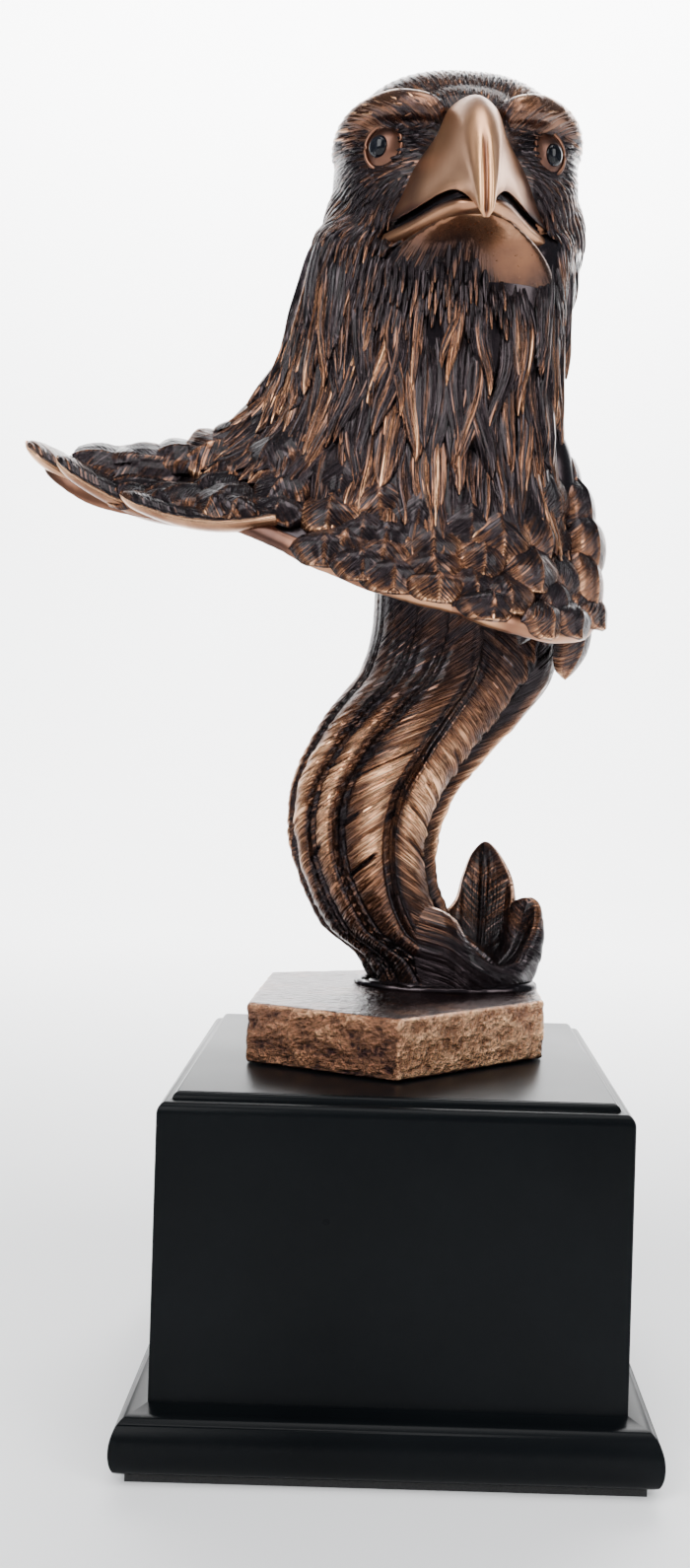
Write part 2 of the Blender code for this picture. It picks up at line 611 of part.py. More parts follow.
def base_profile():
    """Half widths and heights of the moulded base, from the middle of its underside to its top."""
    bottom = PAD_TOP + CLEARANCE
    foot, body, top = FOOT_WIDTH / 2, BODY_WIDTH / 2, TOP_WIDTH / 2
    foot_top = bottom + FOOT_HEIGHT
    body_top = foot_top + BODY_HEIGHT
    round_in = foot - body - FOOT_SHOULDER
    round_up = FOOT_HEIGHT - FOOT_ROUND
    points = [(0.0, bottom), (foot - FOOT_ROUND * 0.4, bottom)]
    points += arc((foot - FOOT_ROUND * 0.4, bottom + FOOT_ROUND), (FOOT_ROUND * 0.4, FOOT_ROUND), -60, 0)
    points += arc((body + FOOT_SHOULDER, bottom + FOOT_ROUND), (round_in, round_up * 0.86), 8, 90)
    points += [(body, foot_top), (body, body_top)]
    ledge = lerp(body, top, 0.55)
    points += arc((ledge, body_top), (body - ledge, CAP_HEIGHT - CAP_LEDGE), 15, 90)[:-1]
    points += [(ledge, body_top + CAP_HEIGHT - CAP_LEDGE)]
    points += arc((top - CAP_LEDGE * 0.3, body_top + CAP_HEIGHT - CAP_LEDGE),
                  (ledge - top - CAP_LEDGE * 0.1, CAP_LEDGE), 10, 75, 3)
    points += [(top, body_top + CAP_HEIGHT), (0.0, body_top + CAP_HEIGHT)]
    return points


def trophy_base(collection):
    """A moulding profile taken around a square: four turned steps, mitred at the corners."""
    data = bpy.data.meshes.new("trophy_base")
    mesh = bmesh.new()
    diagonal = math.sqrt(2.0)
    line = [mesh.verts.new((r * diagonal, 0.0, z)) for r, z in base_profile()]
    for a, b in zip(line, line[1:]):
        mesh.edges.new((a, b))
    mesh.to_mesh(data)
    mesh.free()
    base = new_object("trophy_base", data, collection)
    base.rotation_euler = (0.0, 0.0, math.radians(45.0))
    turn = base.modifiers.new("square", "SCREW")
    turn.steps = 4
    turn.render_steps = 4
    turn.use_merge_vertices = True
    turn.merge_threshold = 0.00001
    turn.use_normal_calculate = True
    corners = base.modifiers.new("corners", "BEVEL")
    corners.width = MITRE_ROUND
    corners.segments = 2
    corners.limit_method = "ANGLE"
    corners.angle_limit = math.radians(70.0)
    return base


def base_pad(collection):
    mesh = bmesh.new()
    bmesh.ops.create_cube(mesh, size=1.0)
    bmesh.ops.scale(mesh, vec=(PAD_WIDTH, PAD_WIDTH, PAD_THICKNESS), verts=mesh.verts)
    bmesh.ops.translate(mesh, vec=(0.0, 0.0, PAD_THICKNESS / 2), verts=mesh.verts)
    data = bpy.data.meshes.new("base_pad")
    mesh.to_mesh(data)
    mesh.free()
    return new_object("base_pad", data, collection)


# Heights that follow from the values above
PAD_TOP = PAD_THICKNESS
BASE_TOP = PAD_TOP + CLEARANCE + FOOT_HEIGHT + BODY_HEIGHT + CAP_HEIGHT
PLATE_TOP = BASE_TOP + CLEARANCE + PLATE_THICKNESS


def main():
    for thing in list(bpy.data.objects):
        bpy.data.objects.remove(thing)
    parts = bpy.data.collections.new("eagle_head_bust")
    cutters = bpy.data.collections.new("joined_forms")
    bpy.context.scene.collection.children.link(parts)
    bpy.context.scene.collection.children.link(cutters)

    figure = eagle(parts)
    figure.name = "eagle_figure"
    foot = plate(cutters)
    foot.hide_render = True
    foot.display_type = "WIRE"
    join = figure.modifiers.new("plate", "BOOLEAN")
    join.operation = "UNION"
    join.solver = "EXACT"
    join.object = foot

    base = trophy_base(parts)
    pad = base_pad(parts)
    figure.data.materials.append(finish("bronze_finish", *BRONZE))
    base.data.materials.append(finish("black_satin", *BLACK_SATIN))
    pad.data.materials.append(finish("black_pad", *BLACK_FELT))


main()
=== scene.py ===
"""Eagle head bust on a trophy base: the finish, the feathers and the photograph's view."""
import math

import bmesh
import bpy
import numpy as np
from mathutils import Euler, Matrix, Vector, noise
from mathutils.bvhtree import BVHTree


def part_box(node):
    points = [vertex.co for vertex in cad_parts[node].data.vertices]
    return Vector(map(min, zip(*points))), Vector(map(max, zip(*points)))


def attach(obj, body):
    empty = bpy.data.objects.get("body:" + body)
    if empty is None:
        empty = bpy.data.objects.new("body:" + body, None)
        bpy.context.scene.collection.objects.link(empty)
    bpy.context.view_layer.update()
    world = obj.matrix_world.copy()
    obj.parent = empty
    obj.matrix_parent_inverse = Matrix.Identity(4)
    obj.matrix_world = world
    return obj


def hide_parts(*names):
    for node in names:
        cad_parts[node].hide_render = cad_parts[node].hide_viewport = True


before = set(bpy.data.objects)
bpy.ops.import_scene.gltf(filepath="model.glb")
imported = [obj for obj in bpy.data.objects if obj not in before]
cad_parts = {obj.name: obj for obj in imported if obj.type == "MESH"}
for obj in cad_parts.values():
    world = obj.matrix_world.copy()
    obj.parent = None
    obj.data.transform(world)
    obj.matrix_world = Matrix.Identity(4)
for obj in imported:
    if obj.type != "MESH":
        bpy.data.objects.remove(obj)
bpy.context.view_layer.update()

# Sizes that come with the frame, and the figure's own grid: 1 unit is 1 mm as shown
PLATE_THICKNESS = 0.0154
GRID_ROWS = 248.5
FIGURE_LOW, FIGURE_HIGH = (Vector(corner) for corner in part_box("eagle_figure"))
BASE_LOW, BASE_HIGH = (Vector(corner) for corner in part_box("trophy_base"))
PLATE_TOP = FIGURE_LOW.z + PLATE_THICKNESS
UNIT = (FIGURE_HIGH.z - PLATE_TOP) / GRID_ROWS
TO_WORLD = Matrix.Translation((0.0, 0.0, PLATE_TOP)) @ Matrix.Scale(UNIT, 4)

# Plate under the feathers
PLATE_WIDTH = 78.4
PLATE_DEPTH = 86.0
PLATE_CENTRE_Y = 5.0
PLATE_CORNERS = ((0.003, -0.500), (0.500, -0.095), (0.497, 0.410),
                 (-0.006, 0.500), (-0.478, 0.335), (-0.500, -0.280))

# Moulded base, metres
FOOT_WIDTH = BASE_HIGH.x - BASE_LOW.x
FOOT_HEIGHT = 0.0143
FOOT_ROUND = 0.0055
FOOT_SHOULDER = 0.0032
BODY_WIDTH = 0.1116
CAP_HEIGHT = 0.0045
CAP_LEDGE = 0.0018
TOP_WIDTH = 0.1028
MITRE_ROUND = 0.0012

# Head, in its own frame: origin between the ears, beak toward -y. Beak and jaw are lofts: each
# station runs from the middle line over the shoulder and flank to the mouth's edge, right side
HEAD_CENTRE = (9.5, 4.0, 218.5)
HEAD_YAW = math.radians(5.1)
HEAD_ROLL = math.radians(-1.6)
HEAD = (Matrix.Translation(HEAD_CENTRE) @ Matrix.Rotation(HEAD_YAW, 4, "Z")
        @ Matrix.Rotation(HEAD_ROLL, 4, "Y"))
BEAK_STATIONS = (
    ((0, -22, 12.5), (7, -21, 8.5), (10, -19, 3), (15.5, -13, -4), (23.5, -4, -15)),
    ((0, -29, 12.2), (6.2, -28.5, 9.0), (9.3, -27.2, 2.5), (15.2, -21.8, -4.6), (25.3, -10, -16.3)),
    ((0, -35, 10.5), (5.6, -34, 7.4), (8.4, -32.5, 0.6), (13.0, -27.5, -6.4), (20.6, -18, -16.6)),
    ((0, -41, 7.2), (4.9, -40, 4.2), (7.3, -38, -2), (10.6, -33.5, -8.4), (15.7, -25.7, -16.1)),
    ((0, -46.5, 2.0), (4.3, -45.5, -0.5), (6.2, -43, -5.5), (8.5, -39.5, -10.5), (12.4, -31.7, -15.6)),
    ((0, -50.5, -4.5), (3.7, -49.5, -6.2), (5.1, -47, -9.5), (6.7, -44, -12.5), (9.3, -37.2, -15.3)),
    ((0, -53.3, -12), (3.0, -52.3, -12.8), (4.0, -50, -14.2), (4.9, -47.5, -15.3), (6.5, -42.2, -15.9)),
    ((0, -54.5, -19), (2.4, -53.6, -19), (3.0, -51.5, -18.8), (3.4, -49.5, -18.6), (3.9, -46.3, -18.4)),
    ((0, -54.4, -24), (1.6, -53.8, -24), (1.9, -52.6, -23.8), (1.8, -51.6, -23.4), (1.7, -50.3, -22.8)),
    ((0, -53.4, -26.2), (0.6, -53.2, -26.1), (0.7, -52.9, -26), (0.7, -52.6, -25.8), (0.5, -52.3, -25.6)))
JAW_STATIONS = (
    ((0, 3, -20.5), (12, 0, -21), (20, -2, -22.5), (25.5, -3, -21.3), (24.3, -3.5, -18.5)),
    ((0, -4, -20.5), (12, -6, -21), (20.5, -8.5, -22.7), (25.8, -9.5, -21.1), (24.8, -10, -18.6)),
    ((0, -13, -20.5), (10, -14.5, -21), (17, -16, -22.2), (20.7, -17.6, -20.6), (19.9, -18, -18.4)),
    ((0, -22, -20.5), (8, -23, -21), (13, -24.5, -21.8), (15.5, -25.8, -20.0), (14.9, -26, -18.0)),
    ((0, -30, -20.5), (6, -30.5, -20.9), (10, -31.2, -21.2), (11.9, -32, -19.3), (11.4, -32, -17.5)),
    ((0, -36.5, -20.7), (4.5, -36.8, -20.9), (7.2, -37.2, -20.9), (8.8, -37.7, -19.0), (8.4, -37.5, -17.4)),
    ((0, -41.3, -20.9), (2.4, -41.4, -20.9), (4.1, -41.6, -20.5), (5.4, -42, -19.1), (5.2, -41.5, -17.7)),
    ((0, -43.4, -20.4), (0.6, -43.4, -20.3), (1.0, -43.5, -20), (1.5, -43.8, -19.3), (1.4, -43.5, -18.3)))
# Throat under the jaw: distance along -y, underside, half width
THROAT = ((2, -44, 25), (18, -39, 23), (22, -34, 20.5), (25.5, -29, 17.5), (30.5, -25.2, 13.5),
          (36, -22.6, 9), (40.5, -21.0, 4.5))
THROAT_TOP = -19.5
BROW = ((7.5, -30.0, 7.3, 2.2), (11.5, -28.5, 9.9, 3.3), (18.5, -22.8, 12.0, 4.2), (25.5, -14.5, 12.2, 4.2),
        (29.5, -5.5, 10.8, 3.9), (31.0, 5.0, 8.5, 3.2))
EYE_CENTRE = (18.5, -14.2, 3.0)
EYE_RADIUS = 7.5
BROW_LINE = np.array(BROW)[:, :3]
GAZES = ((-1, (-0.66, -0.75, -0.02)), (1, (0.60, -0.79, -0.12)))
PUPIL_RADII = (2.9, 2.9, 1.8)
PUPIL_SET_IN = 0.75
# Feathers of the head: how many rays look for a place, how far they keep from the eyes and beak
HEAD_FEATHER_RAYS = 3500
EYE_CLEARANCE = 6.6
BEAK_CLEARANCE = 0.4
HEAD_FEATHER_BOTTOM = -40.0
CHIN_TOP = -14.0

# Neck ring and rim of the feather cape, as in the casting
NECK_CENTRE = (6.4, 5.0, 204.0)
NECK_HALF_WIDTH = 35.0
NECK_HALF_DEPTH = 30.0
NECK_FRONT_DROP = 16.0
NECK_FRONT_SET_BACK = 6.0
WAIST = 9.0
FULL_SPREAD = 70.0
RIM = ((0, 10, -35, 104), (25, -8, -36, 108), (45, -26, -32, 115), (62, -46, -25, 124),
       (72, -66, -18, 127), (80, -86, -10, 132), (88, -98, -3, 141), (98, -84, 12, 140),
       (110, -64, 24, 138), (125, -44, 34, 135), (148, -22, 42, 131), (178, 4, 44, 122),
       (205, 28, 38, 113), (232, 44, 24, 107), (262, 50, 4, 104), (300, 43, -14, 99),
       (333, 28, -30, 99))
HOLLOW_TOP = (12.0, 10.0, 126.0)
SHOULDER_SWELL = ((36.0, 3.0, 134.0), (8.0, 9.0, 21.0))
# Locks of the neck, row by row: place on the skin, how many, length, width
LOCK_ROWS = ((0.03, 42, 23, 6.5), (0.09, 40, 26, 7.8), (0.16, 36, 29, 8.8), (0.23, 34, 31, 9.8),
             (0.30, 33, 32, 10.6), (0.37, 33, 32, 11.2), (0.44, 33, 29, 11.6))
# Coverts: rows counted from the rim, and the spacing below which each second one is left out
COVERT_ROWS = 8
COVERT_GAP = 11.0
COVERT_CROWDED = 8.5
# How far under the beak or the jaw a place still counts as covered by it
COVER_REACH = 14.0

# Column of tail feathers: z, centre x, centre y, half width, half depth
COLUMN = ((132, 12, 10, 19, 19), (112, 13.8, 11, 23.5, 18), (98, 15.5, 12, 26, 17),
          (86, 13, 12, 26.4, 16), (76, 5.6, 12, 26, 15.5), (66, -1.8, 12, 24.2, 15),
          (54, -8.6, 12, 21.6, 14.5), (41, -11.0, 13, 19.2, 14), (28, -8.8, 15, 18, 14),
          (16, -3, 18, 18, 13.5), (8, 7.2, 20, 18.5, 13.5), (-3, 12, 21, 18.5, 13.5))
# Its shafts: at a height z, angles in degrees from the front toward -x, once around. The last two
# are the serrated edge of the first feather's right vane, and that feather's shaft again
TAIL_SHAFTS = ((120, -6, 12, 32, 64, 104, 140, 180, 216, 250, 276, 306, 354),
               (100, -8, 12, 33, 66, 104, 140, 180, 216, 250, 276, 309, 352),
               (80, -12, 17, 38, 70, 104, 140, 180, 216, 250, 272, 308, 348),
               (60, -18, 21, 44, 74, 104, 140, 180, 216, 250, 268, 297, 342),
               (40, -23, 20, 46, 76, 104, 140, 180, 216, 250, 266, 294, 337),
               (20, -20, 15, 44, 74, 104, 140, 180, 216, 250, 264, 290, 340),
               (-3, -15, 10, 40, 70, 104, 140, 180, 216, 250, 262, 285, 345))
LAST_VANE = 10
COLUMN_ENDS = (118.0, -1.0)
BARB_SLANT = 0.95
# How bright the vanes are at a height, and how deep their relief is. The bright middle heights are partly
# # rubbed wear and partly painted highlight; the dark top under the cape is painted shade
TAIL_SHINE = ((120, 0.0, 0.10), (96, 0.02, 0.15), (86, 0.16, 0.45), (76, 0.46, 0.9), (64, 0.82, 1.0),
              (50, 0.95, 1.0), (38, 0.72, 1.0), (26, 0.36, 0.9), (14, 0.12, 0.8), (-3, 0.05, 0.6))
# Splits between barbs: vane, height at its inner end, share of the vane it starts and ends at, depth
TAIL_SPLITS = ((0, 37.5, 0.30, 0.86, 1.7), (1, 37.0, 0.55, 1.0, 1.4), (0, 66.0, 0.15, 0.90, 0.9),
               (0, 49.0, 0.62, 1.0, 1.0), (10, 51.0, 0.25, 0.92, 1.1), (10, 58.5, 0.30, 0.95, 0.8),
               (10, 67.0, 0.45, 1.0, 0.8), (10, 42.0, 0.35, 0.95, 0.8), (1, 62.0, 0.35, 1.0, 0.7),
               (2, 45.0, 0.40, 1.0, 0.9), (1, 49.0, 0.45, 0.9, 0.5), (2, 60.0, 0.3, 0.9, 0.6),
               (5, 50.0, 0.4, 0.9, 0.9), (7, 62.0, 0.4, 0.9, 0.9), (8, 40.0, 0.4, 0.9, 0.9))
SPLIT_VANE_WIDTH = 12.0

# Rim of the scoop that the feather ends form beside the column, from its front lip round to the back
SCOOP_RIM = ((4, 6, 24), (13, 3, 20.7), (17, 2.5, 16), (20.3, 3, 11.4), (24.6, 5, 8.2), (28.8, 8, 6.8),
             (33, 11, 7.8), (36.2, 14, 12.2), (39.0, 17, 17.7), (39.4, 20, 22.7), (37.2, 22, 24.6),
             (33.8, 24.5, 23.4), (32.4, 28, 21.5), (33, 31, 24.5), (31.9, 34, 30), (28, 36, 36.3),
             (24.2, 37, 38.8), (20.2, 36, 35.4), (17.4, 34, 29), (15, 31, 22), (8, 28, 16))
SCOOP_TIPS = (9.6, 16.0)
SCOOP_CENTRE = (21, 18)
SCOOP_THICKNESS = 2.6
SCOOP_FLOOR = 4.0

# Where the coverts stop along the rim and the plume's own feathers go on
PLUME_START_X = -84.0
# Plume: each finger's tip and root, how far it sags, its half height and half depth
PLUME_FINGERS = (((-84, 10, 139), (-46, 14, 136), 3.0, 3.4, 9.0),
                 ((-103.5, -4, 145.0), (-52, 4, 131.5), 5.5, 4.6, 9.5),
                 ((-93.5, -11, 140.0), (-44, -11, 128.5), 6.0, 4.8, 8.5),
                 ((-75, -19.5, 129.8), (-34, -24, 125.5), 3.6, 4.2, 7.5))
# Feathers down the far shoulder: root, length, width, how bright their tips are
SHOULDER_FEATHERS = ((36, 8, 150, 26, 17, 0.0), (40.5, 9, 134, 26, 17, 0.0), (38.5, 3, 148, 18, 13, 0.1),
                     (43.0, 2, 140, 20, 15, 0.2), (46.0, 0, 130, 20, 16, 0.5), (46.0, -4, 119, 22, 16, 1.0),
                     (44.0, -1, 108, 22, 14, 0.3), (38, -12, 112, 18, 14, -0.2), (31, -15, 108, 14, 12, -0.2),
                     (36.5, 11, 158, 20, 15, 0.1), (39.5, 12, 147, 21, 16, 0.2), (41, 12, 136, 21, 16, 0.2),
                     (40.5, 12, 125, 21, 15, 0.2), (37.5, 12, 115, 18, 14, 0.1))

# Random waves that the relief is drawn with, the same each time
WAVES = np.random.default_rng(5).uniform(-1.0, 1.0, 512)

# Finish
DARK = (0.025, 0.018, 0.020)
BROWN = (0.20, 0.088, 0.044)
COPPER = (0.83, 0.47, 0.26)

# The photograph's camera, fitted to the base's edges
PHOTO_WIDTH, PHOTO_HEIGHT = 700, 1590
FOCAL_PIXELS = 1546.0
CENTRE_PIXEL = (403.4, 755.6)
CAMERA_PLACE = (-0.00228, -0.40961, 0.17063)
CAMERA_ROLL = 0.0296
SENSOR = 36.0
# Lamps: name, place, what it is aimed at, width, height, watts
OBJECT, BACKDROP = (0.0, 0.0, 0.20), (0.0, 1.5, 0.90)
LAMPS = (("key", (-0.55, -0.75, 0.75), OBJECT, 0.55, 0.9, 13.0),
         ("fill", (0.75, -0.65, 0.55), OBJECT, 0.45, 0.8, 8.0),
         ("top", (0.05, -0.25, 1.15), OBJECT, 0.60, 0.6, 7.0),
         ("back", (0.35, 0.75, 0.70), OBJECT, 0.6, 0.6, 5.0),
         ("backdrop", (0.0, 0.60, 1.25), BACKDROP, 1.8, 0.4, 125.0))


# Numbers and curves

def lerp(a, b, t):
    return a + (b - a) * t


def cubic(a, b, c, d, t):
    """Catmull-Rom curve between b and c."""
    return b + 0.5 * t * (c - a + t * (2 * a - 5 * b + 4 * c - d + t * (3 * (b - c) + d - a)))


def spline(rows, k, t):
    """Catmull-Rom point at share t of the way from row k to the next."""
    last = len(rows) - 1
    picks = [rows[min(max(k + d, 0), last)] for d in (-1, 0, 1, 2)]
    return [cubic(*values, t) for values in zip(*picks)]


def smooth_table(table, x):
    """Value of a table (x, a, b, ...) at x, by cubic interpolation."""
    order = table if table[-1][0] > table[0][0] else table[::-1]
    keys = [row[0] for row in order]
    x = min(max(x, keys[0]), keys[-1])
    k = max(j for j in range(len(keys) - 1) if keys[j] <= x)
    return spline([row[1:] for row in order], k, (x - keys[k]) / (keys[k + 1] - keys[k]))


def smooth_line(table, steps):
    """A line through the rows of a table, with so many steps from each row to the next."""
    last = len(table) - 2
    line = []
    for i in range((last + 1) * steps + 1):
        k = min(i // steps, last)
        line.append(spline(table, k, i / steps - k))
    return line


def jitter(a, b, c=0.0):
    """A repeatable number from -1 to 1."""
    return math.sin(a * 12.9898 + b * 78.233 + c * 37.719) * 43758.5453 % 2.0 - 1.0


def ripple(x):
    """A smooth random wave of x, from -1 to 1."""
    whole = np.floor(x).astype(int)
    t = x - whole
    t = t * t * (3.0 - 2.0 * t)
    return lerp(WAVES[whole % len(WAVES)], WAVES[(whole + 1) % len(WAVES)], t)


def ease(x, low, high):
    """0 below low, 1 above high, smooth between."""
    t = np.clip((x - low) / (high - low), 0.0, 1.0)
    return t * t * (3.0 - 2.0 * t)


def climb(x, start, span):
    """0 up to start, rising evenly to 1 over the span after it."""
    return np.clip((x - start) / span, 0.0, 1.0)


def bell(x, centre, width):
    """1 at the centre, fading to 0 on both sides."""
    return np.exp(-((x - centre) / width) ** 2)


def unit(vectors):
    """Vectors of an array brought to length 1."""
    return vectors / np.linalg.norm(vectors, axis=-1)[..., None]


def stacked(*parts):
    """Arrays of matching shapes as the parts of one array of vectors."""
    return np.stack(np.broadcast_arrays(*parts), axis=-1)


def as_array(vectors):
    return np.array([tuple(v) for v in vectors])


# The bust's skin, as in the casting

def rim_at(u):
    """Angle and point of the rim at u, which runs from 0 to 1 once around."""
    count = len(RIM)
    i = int(math.floor(u * count)) % count
    t = u * count - math.floor(u * count)
    picks = []
    for k in (-1, 0, 1, 2):
        turns, index = divmod(i + k, count)
        angle, x, y, z = RIM[index]
        picks.append((angle + 360.0 * turns, x, y, z))
    angle, x, y, z = (cubic(*values, t) for values in zip(*picks))
    return math.radians(angle), Vector((x, y, z))


def neck_at(angle):
    """Point of the neck ring, the angle from the front toward -x, set back and lower in front."""
    x, y, z = NECK_CENTRE
    front = max(math.cos(angle), 0.0) ** 2
    return Vector((x - NECK_HALF_WIDTH * math.sin(angle),
                   y - (NECK_HALF_DEPTH - NECK_FRONT_SET_BACK * front) * math.cos(angle),
                   z - NECK_FRONT_DROP * front))


def bust_point(u, s):
    """Point of the bust's skin: s runs from 0 at the neck ring to 1 at the rim."""
    angle, rim = rim_at(u)
    top = neck_at(angle)
    drop = top.z - rim.z
    out = Vector((rim.x - top.x, rim.y - top.y, 0.0))
    spread = min(out.length / FULL_SPREAD, 1.0)
    waist = Vector((math.sin(angle), 0.0, 0.0)) * WAIST * (1.0 - spread) * max(-math.sin(angle), 0.0)
    first = top + out * lerp(0.0, 0.10, spread) + waist
    first -= Vector((0.0, 0.0, drop * lerp(0.45, 0.92, spread)))
    second = top + out * lerp(0.45, 0.36, spread) + waist
    second -= Vector((0.0, 0.0, drop * lerp(0.80, 1.03, spread)))
    a, b, c, d = (1 - s) ** 3, 3 * s * (1 - s) ** 2, 3 * s * s * (1 - s), s ** 3
    return top * a + first * b + second * c + rim * d


def bust_frame(u, s):
    """Point, outward normal and downward direction on the bust's skin."""
    point = bust_point(u, s)
    down = bust_point(u, min(s + 0.02, 1.0)) - bust_point(u, max(s - 0.02, 0.0))
    around = bust_point(u + 0.004, s) - bust_point(u - 0.004, s)
    normal = around.cross(down).normalized()
    if normal.dot(point - Vector((4.0, 8.0, point.z))) < 0:
        normal = -normal
    return point, normal, down.normalized()


def bust_length(u):
    """Length of the skin from the neck ring to the rim."""
    stops = [bust_point(u, k / 8) for k in range(9)]
    return sum((b - a).length for a, b in zip(stops, stops[1:]))


# Meshes and pieces

def set_values(mesh, name, values, kind="FLOAT", field="value"):
    """Gives each point of a mesh a value, or a vector, that the finish reads by name."""
    layer = mesh.attributes.new(name, kind, "POINT")
    layer.data.foreach_set(field, np.asarray(values, dtype=np.float32).ravel())


def set_vectors(mesh, name, values):
    set_values(mesh, name, values, "FLOAT_VECTOR", "vector")


def get_vectors(mesh, field):
    values = np.empty(len(mesh.vertices) * 3)
    mesh.vertices.foreach_get(field, values)
    return values.reshape(-1, 3)


def add_object(name, data):
    thing = bpy.data.objects.new(name, data)
    bpy.context.scene.collection.objects.link(thing)
    return thing


def mesh_from(built, name, matrix=Matrix()):
    """The mesh of a bmesh, its faces turned outward."""
    bmesh.ops.recalc_face_normals(built, faces=built.faces)
    mesh = bpy.data.meshes.new(name)
    built.to_mesh(mesh)
    built.free()
    mesh.transform(matrix)
    return mesh


def applied(thing):
    """The mesh of an object with its modifiers applied. The object goes."""
    bpy.context.view_layer.update()
    plain = thing.data
    name = plain.name
    mesh = bpy.data.meshes.new_from_object(thing.evaluated_get(bpy.context.evaluated_depsgraph_get()))
    bpy.data.objects.remove(thing)
    bpy.data.meshes.remove(plain)
    mesh.name = name
    return mesh


def piece_from(mesh, name, material, wear_and_painted_light=None, node="eagle_figure",
               place=TO_WORLD):
    """A finished piece: it rides on the root, takes a slot and stands for a CAD node."""
    if wear_and_painted_light is not None:
        set_values(mesh, "wear_and_painted_light", np.full(len(mesh.vertices), wear_and_painted_light))
    mesh.transform(place)
    mesh.shade_smooth()
    mesh.materials.clear()
    mesh.materials.append(material)
    piece = add_object(name, mesh)
    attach(piece, "root")
    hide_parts(node)


class Sheaf:
    """Gathers feathers into one mesh, with what the finish needs to know of each point.

    wear_and_painted_light runs from 0, dark hollow, to 1, rubbed bright; on some pieces it also holds painted
    highlight and painted shade.
    strand holds the place across the barbs, the place along them, both in mm, and a number of the feather's
    own.
    """

    def __init__(self, across=9, under=(0.7, 0.0, -0.7)):
        self.across = np.linspace(-1.0, 1.0, across)
        self.under = np.array(under)
        self.parts = []

    def blade(self, spine, normals, half, thickness, cup=0.25, shaft=0.0, rim=0.0, slant=0.0,
              base_tone=0.25, seed=0.0, tip_wear=0.25, ridges=0.0):
        """A feather: rings along the spine, a crowned top with a shaft and rim, and a flat underside."""
        spine, normals = as_array(spine), as_array(normals)
        t = np.linspace(0.0, 1.0, len(spine))
        ahead = unit(np.gradient(spine, axis=0))
        side = unit(np.cross(normals, ahead))
        up = np.cross(ahead, side)
        half = half[:, None]
        thick = thickness * np.clip(0.35 + 2.2 * (1.0 - t), 0.35, 1.0) * np.clip(0.4 + 3.0 * t, 0.4, 1.0)
        thick = thick[:, None]
        c, b = self.across, self.under
        crown = np.sqrt(np.clip(1.0 - np.abs(c) ** 3.0, 0.0, 1.0))
        fade = np.clip((1.0 - t) * 6.0, 0.0, 1.0)[:, None] ** 0.5
        edge = bell(np.abs(c), 0.80, 0.13)
        spike = bell(c, 0.0, 0.08)
        gutter = bell(np.abs(c), 0.19, 0.08)
        end = bell(t, 1.0, 0.10)[:, None]
        wave = np.cos(c * math.pi * 2.6 + seed)
        height = thick * crown + fade * shaft * (spike - 0.45 * gutter)
        height += rim * np.maximum(edge, end * 0.7)
        height += ridges * fade * wave
        height -= cup * half * c ** 2
        drop = -0.4 * thick - cup * half * b ** 2
        reach = half * np.concatenate([c, b])
        rise = np.concatenate([height, drop], axis=1)
        points = spine[:, None] + side[:, None] * reach[..., None] + up[:, None] * rise[..., None]
        steps = np.linalg.norm(np.diff(spine, axis=0), axis=1)
        along = np.concatenate([[0.0], np.cumsum(steps)])[:, None]
        offset = np.abs(reach)
        if slant > 0.0:
            strand = stacked(along - slant * offset, offset, seed * 7.31)
        else:
            strand = stacked(reach, along, seed * 7.31)
        wear_and_painted_light = base_tone + 0.20 * crown * t[:, None] + tip_wear * end ** 0.7
        if shaft + rim > 0.0:
            wear_and_painted_light = wear_and_painted_light + 0.30 * edge + 0.25 * spike - 0.20 * gutter
        else:
            wear_and_painted_light = wear_and_painted_light - 0.35 * np.abs(c) ** 2.0
        wear_and_painted_light = wear_and_painted_light + 0.5 * ridges * wave
        wear_and_painted_light = wear_and_painted_light - 0.30 * np.clip(0.35 - t, 0.0, 1.0)[:, None] / 0.35
        self.add(points, np.concatenate([wear_and_painted_light, np.full((len(t), len(b)), 0.18)], axis=1), strand)

    def add(self, points, wear_and_painted_light, strand):
        self.parts.append((points.reshape(-1, 3), *points.shape[:2], wear_and_painted_light.ravel(), strand.reshape(-1, 3)))

    def grid(self, points, wear_and_painted_light, strand):
        """A skin of rings, closed around and capped at its ends, turned so that it faces out."""
        centre = points.mean(axis=(0, 1))
        across = np.roll(points, -1, axis=1)[:-1] - points[:-1]
        ahead = points[1:] - points[:-1]
        if np.sum(np.cross(across, ahead) * (points[:-1] - centre)) < 0.0:
            points, wear_and_painted_light, strand = points[:, ::-1], wear_and_painted_light[:, ::-1], strand[:, ::-1]
        self.add(points, wear_and_painted_light, strand)

    def piece(self, name, material):
        faces = []
        start = 0
        for _, count, ring, _, _ in self.parts:
            rows = np.arange(count - 1)[:, None] * ring + start
            k = np.arange(ring)[None]
            j = (k + 1) % ring
            quads = np.stack([rows + k, rows + j, rows + ring + j, rows + ring + k], axis=-1)
            faces.extend(quads.reshape(-1, 4).tolist())
            faces.append(list(range(start + ring - 1, start - 1, -1)))
            faces.append(list(range(start + (count - 1) * ring, start + count * ring)))
            start += count * ring
        points, wear_and_painted_light, strand = (np.concatenate([part[i] for part in self.parts]) for i in (0, 3, 4))
        mesh = bpy.data.meshes.new(name)
        mesh.from_pydata(points.tolist(), [], faces)
        set_vectors(mesh, "strand", strand)
        piece_from(mesh, name, material, wear_and_painted_light)
        mesh.set_sharp_from_angle(angle=math.radians(60.0))


# Materials

